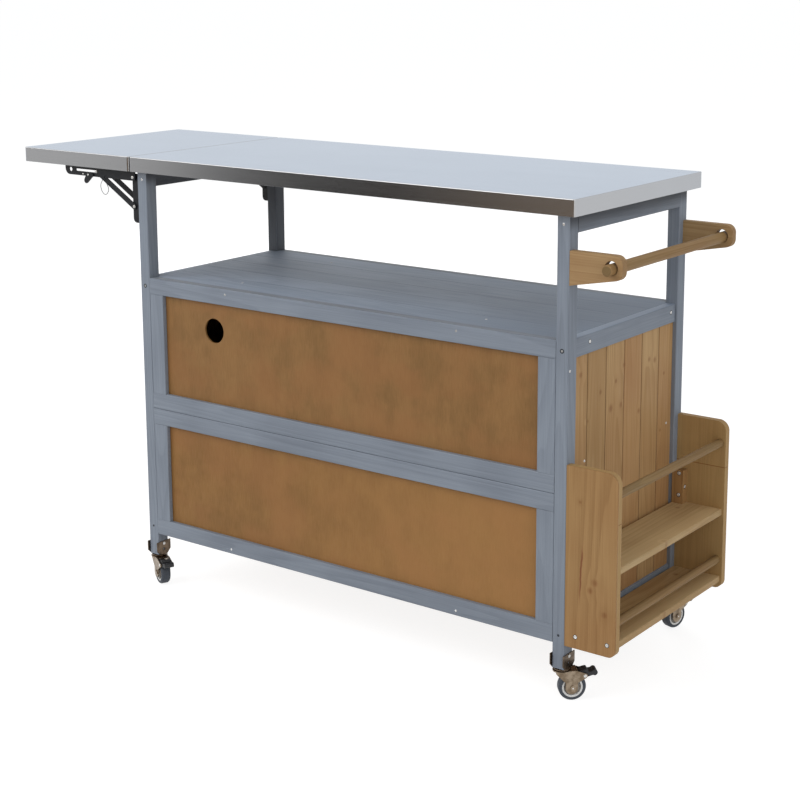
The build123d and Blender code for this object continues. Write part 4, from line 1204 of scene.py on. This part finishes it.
# A card that only mirrors show, so that the worktop's near rim is dark as in the photograph.
# It stands in front of the cart and lies along the floor, and its shades fan out from one place.
CARD_LEFT, CARD_RIGHT = -9.0, 3.0
CARD_FAR, CARD_NEAR = -3.5, -0.6
CARD_LOW, CARD_TOP = 0.01, 0.95
FAN_X, FAN_Y = 1.94, 2.10
CARD_SHADES = (
    (0.60, (0.24, 0.18, 0.13, 1.0)), (0.67, (0.19, 0.145, 0.11, 1.0)), (0.73, (0.05, 0.048, 0.045, 1.0)),
    (0.80, (0.0, 0.0, 0.0, 1.0)), (0.90, (0.025, 0.025, 0.025, 1.0)), (0.945, (0.13, 0.13, 0.13, 1.0)),
    (0.985, (0.34, 0.34, 0.34, 1.0)), (0.998, (0.74, 0.74, 0.74, 1.0)),
)


def bare_tree(owner):
    """The emptied node tree of a material or a world."""
    owner.use_nodes = True
    owner.node_tree.nodes.clear()
    return Wire(owner.node_tree)


def close_tree(shader, kind):
    """Link a shader to an output node of the given type."""
    end = shader.tree.nodes.new(kind)
    shader.tree.links.new(shader.socket, end.inputs["Surface"])


def shows_background(start):
    """1 for rays from the camera, in a mirror or through glass."""
    camera = start.node("ShaderNodeLightPath", output="Is Camera Ray")
    seen = larger(camera, camera.other("Is Glossy Ray"))
    return larger(seen, camera.other("Is Transmission Ray"))


def set_floor():
    """A plain pale floor that keeps the cart's soft shadow."""
    corners = [(x * FLOOR_REACH, y * FLOOR_REACH, 0.0) for x, y in ((-1, -1), (1, -1), (1, 1), (-1, 1))]
    mesh = bpy.data.meshes.new("floor")
    mesh.from_pydata(corners, [], [(0, 1, 2, 3)])
    material = bpy.data.materials.new("floor")
    start = bare_tree(material)
    matt = start.node("ShaderNodeBsdfDiffuse", None, {"Color": FLOOR_COLOUR})
    shadow = start.node("ShaderNodeBsdfDiffuse", None, {"Color": SHADOW_SHARE})
    glow = start.node("ShaderNodeEmission", None, {"Color": WHITE, "Strength": FLOOR_GLOW})
    pale = start.node("ShaderNodeAddShader", None, {"Shader": shadow, "Shader_001": glow})
    sockets = {"Fac": shows_background(start), "Shader": matt, "Shader_001": pale}
    close_tree(start.node("ShaderNodeMixShader", None, sockets), "ShaderNodeOutputMaterial")
    mesh.materials.append(material)
    add_object("floor", mesh)


def set_world():
    """Even light from all round, and white where the background shows."""
    world = bpy.data.worlds.new("studio")
    start = bare_tree(world)
    even = start.node("ShaderNodeBackground", None, {"Color": AMBIENT_COLOUR, "Strength": AMBIENT})
    white = start.node("ShaderNodeBackground", None, {"Color": WHITE, "Strength": 1.0})
    sockets = {"Fac": shows_background(start), "Shader": even, "Shader_001": white}
    close_tree(start.node("ShaderNodeMixShader", None, sockets), "ShaderNodeOutputWorld")
    bpy.context.scene.world = world


def set_card():
    """A bent card in front of the cart, seen by mirrors alone."""
    mesh = bpy.data.meshes.new("mirror_card")
    profile = ((CARD_NEAR, CARD_LOW), (CARD_FAR, CARD_LOW), (CARD_FAR, CARD_TOP))
    corners = [(x, y, z) for y, z in profile for x in (CARD_LEFT, CARD_RIGHT)]
    mesh.from_pydata(corners, [], [(0, 1, 3, 2), (2, 3, 5, 4)])
    material = bpy.data.materials.new("mirror_card")
    x, y, _ = parts(bare_tree(material).node("ShaderNodeTexCoord", output="Object"))
    fan = (FAN_X - x) / (FAN_Y - y)
    shade = fan.node("ShaderNodeValToRGB", {"stops": CARD_SHADES}, {"Fac": fan}, "Color")
    close_tree(fan.node("ShaderNodeEmission", None, {"Color": shade}), "ShaderNodeOutputMaterial")
    mesh.materials.append(material)
    card = add_object("mirror_card", mesh)
    card.visible_camera = False
    card.visible_diffuse = False
    card.visible_shadow = False
    card.visible_transmission = False


def softbox(name, place, size, power):
    data = bpy.data.lights.new(name, "AREA")
    data.size = size
    data.energy = power
    lamp = add_object(name, data)
    lamp.location = place
    lamp.rotation_euler = (Vector(AIM) - Vector(place)).to_track_quat("-Z", "Y").to_euler()
    return lamp


def set_studio():
    bpy.context.scene.view_settings.view_transform = "Standard"
    set_floor()
    set_world()
    set_card()
    softbox("key_softbox", KEY_PLACE, KEY_SIZE, KEY_POWER)
    softbox("fill_softbox", FILL_PLACE, FILL_SIZE, FILL_POWER)
    softbox("rear_softbox", REAR_PLACE, REAR_SIZE, REAR_POWER).visible_glossy = False


set_camera()
dress_frame()
dress_wood()
coat_finish = dress_metal()
bright_finish = finish("bright_plate", {"Metallic": 0.55}, plated(BRIGHT_PALE, BRIGHT_DEEP))
set_screws(bright_finish)
set_brackets(bright_finish, coat_finish)
set_caster_caps(bright_finish)
set_studio()
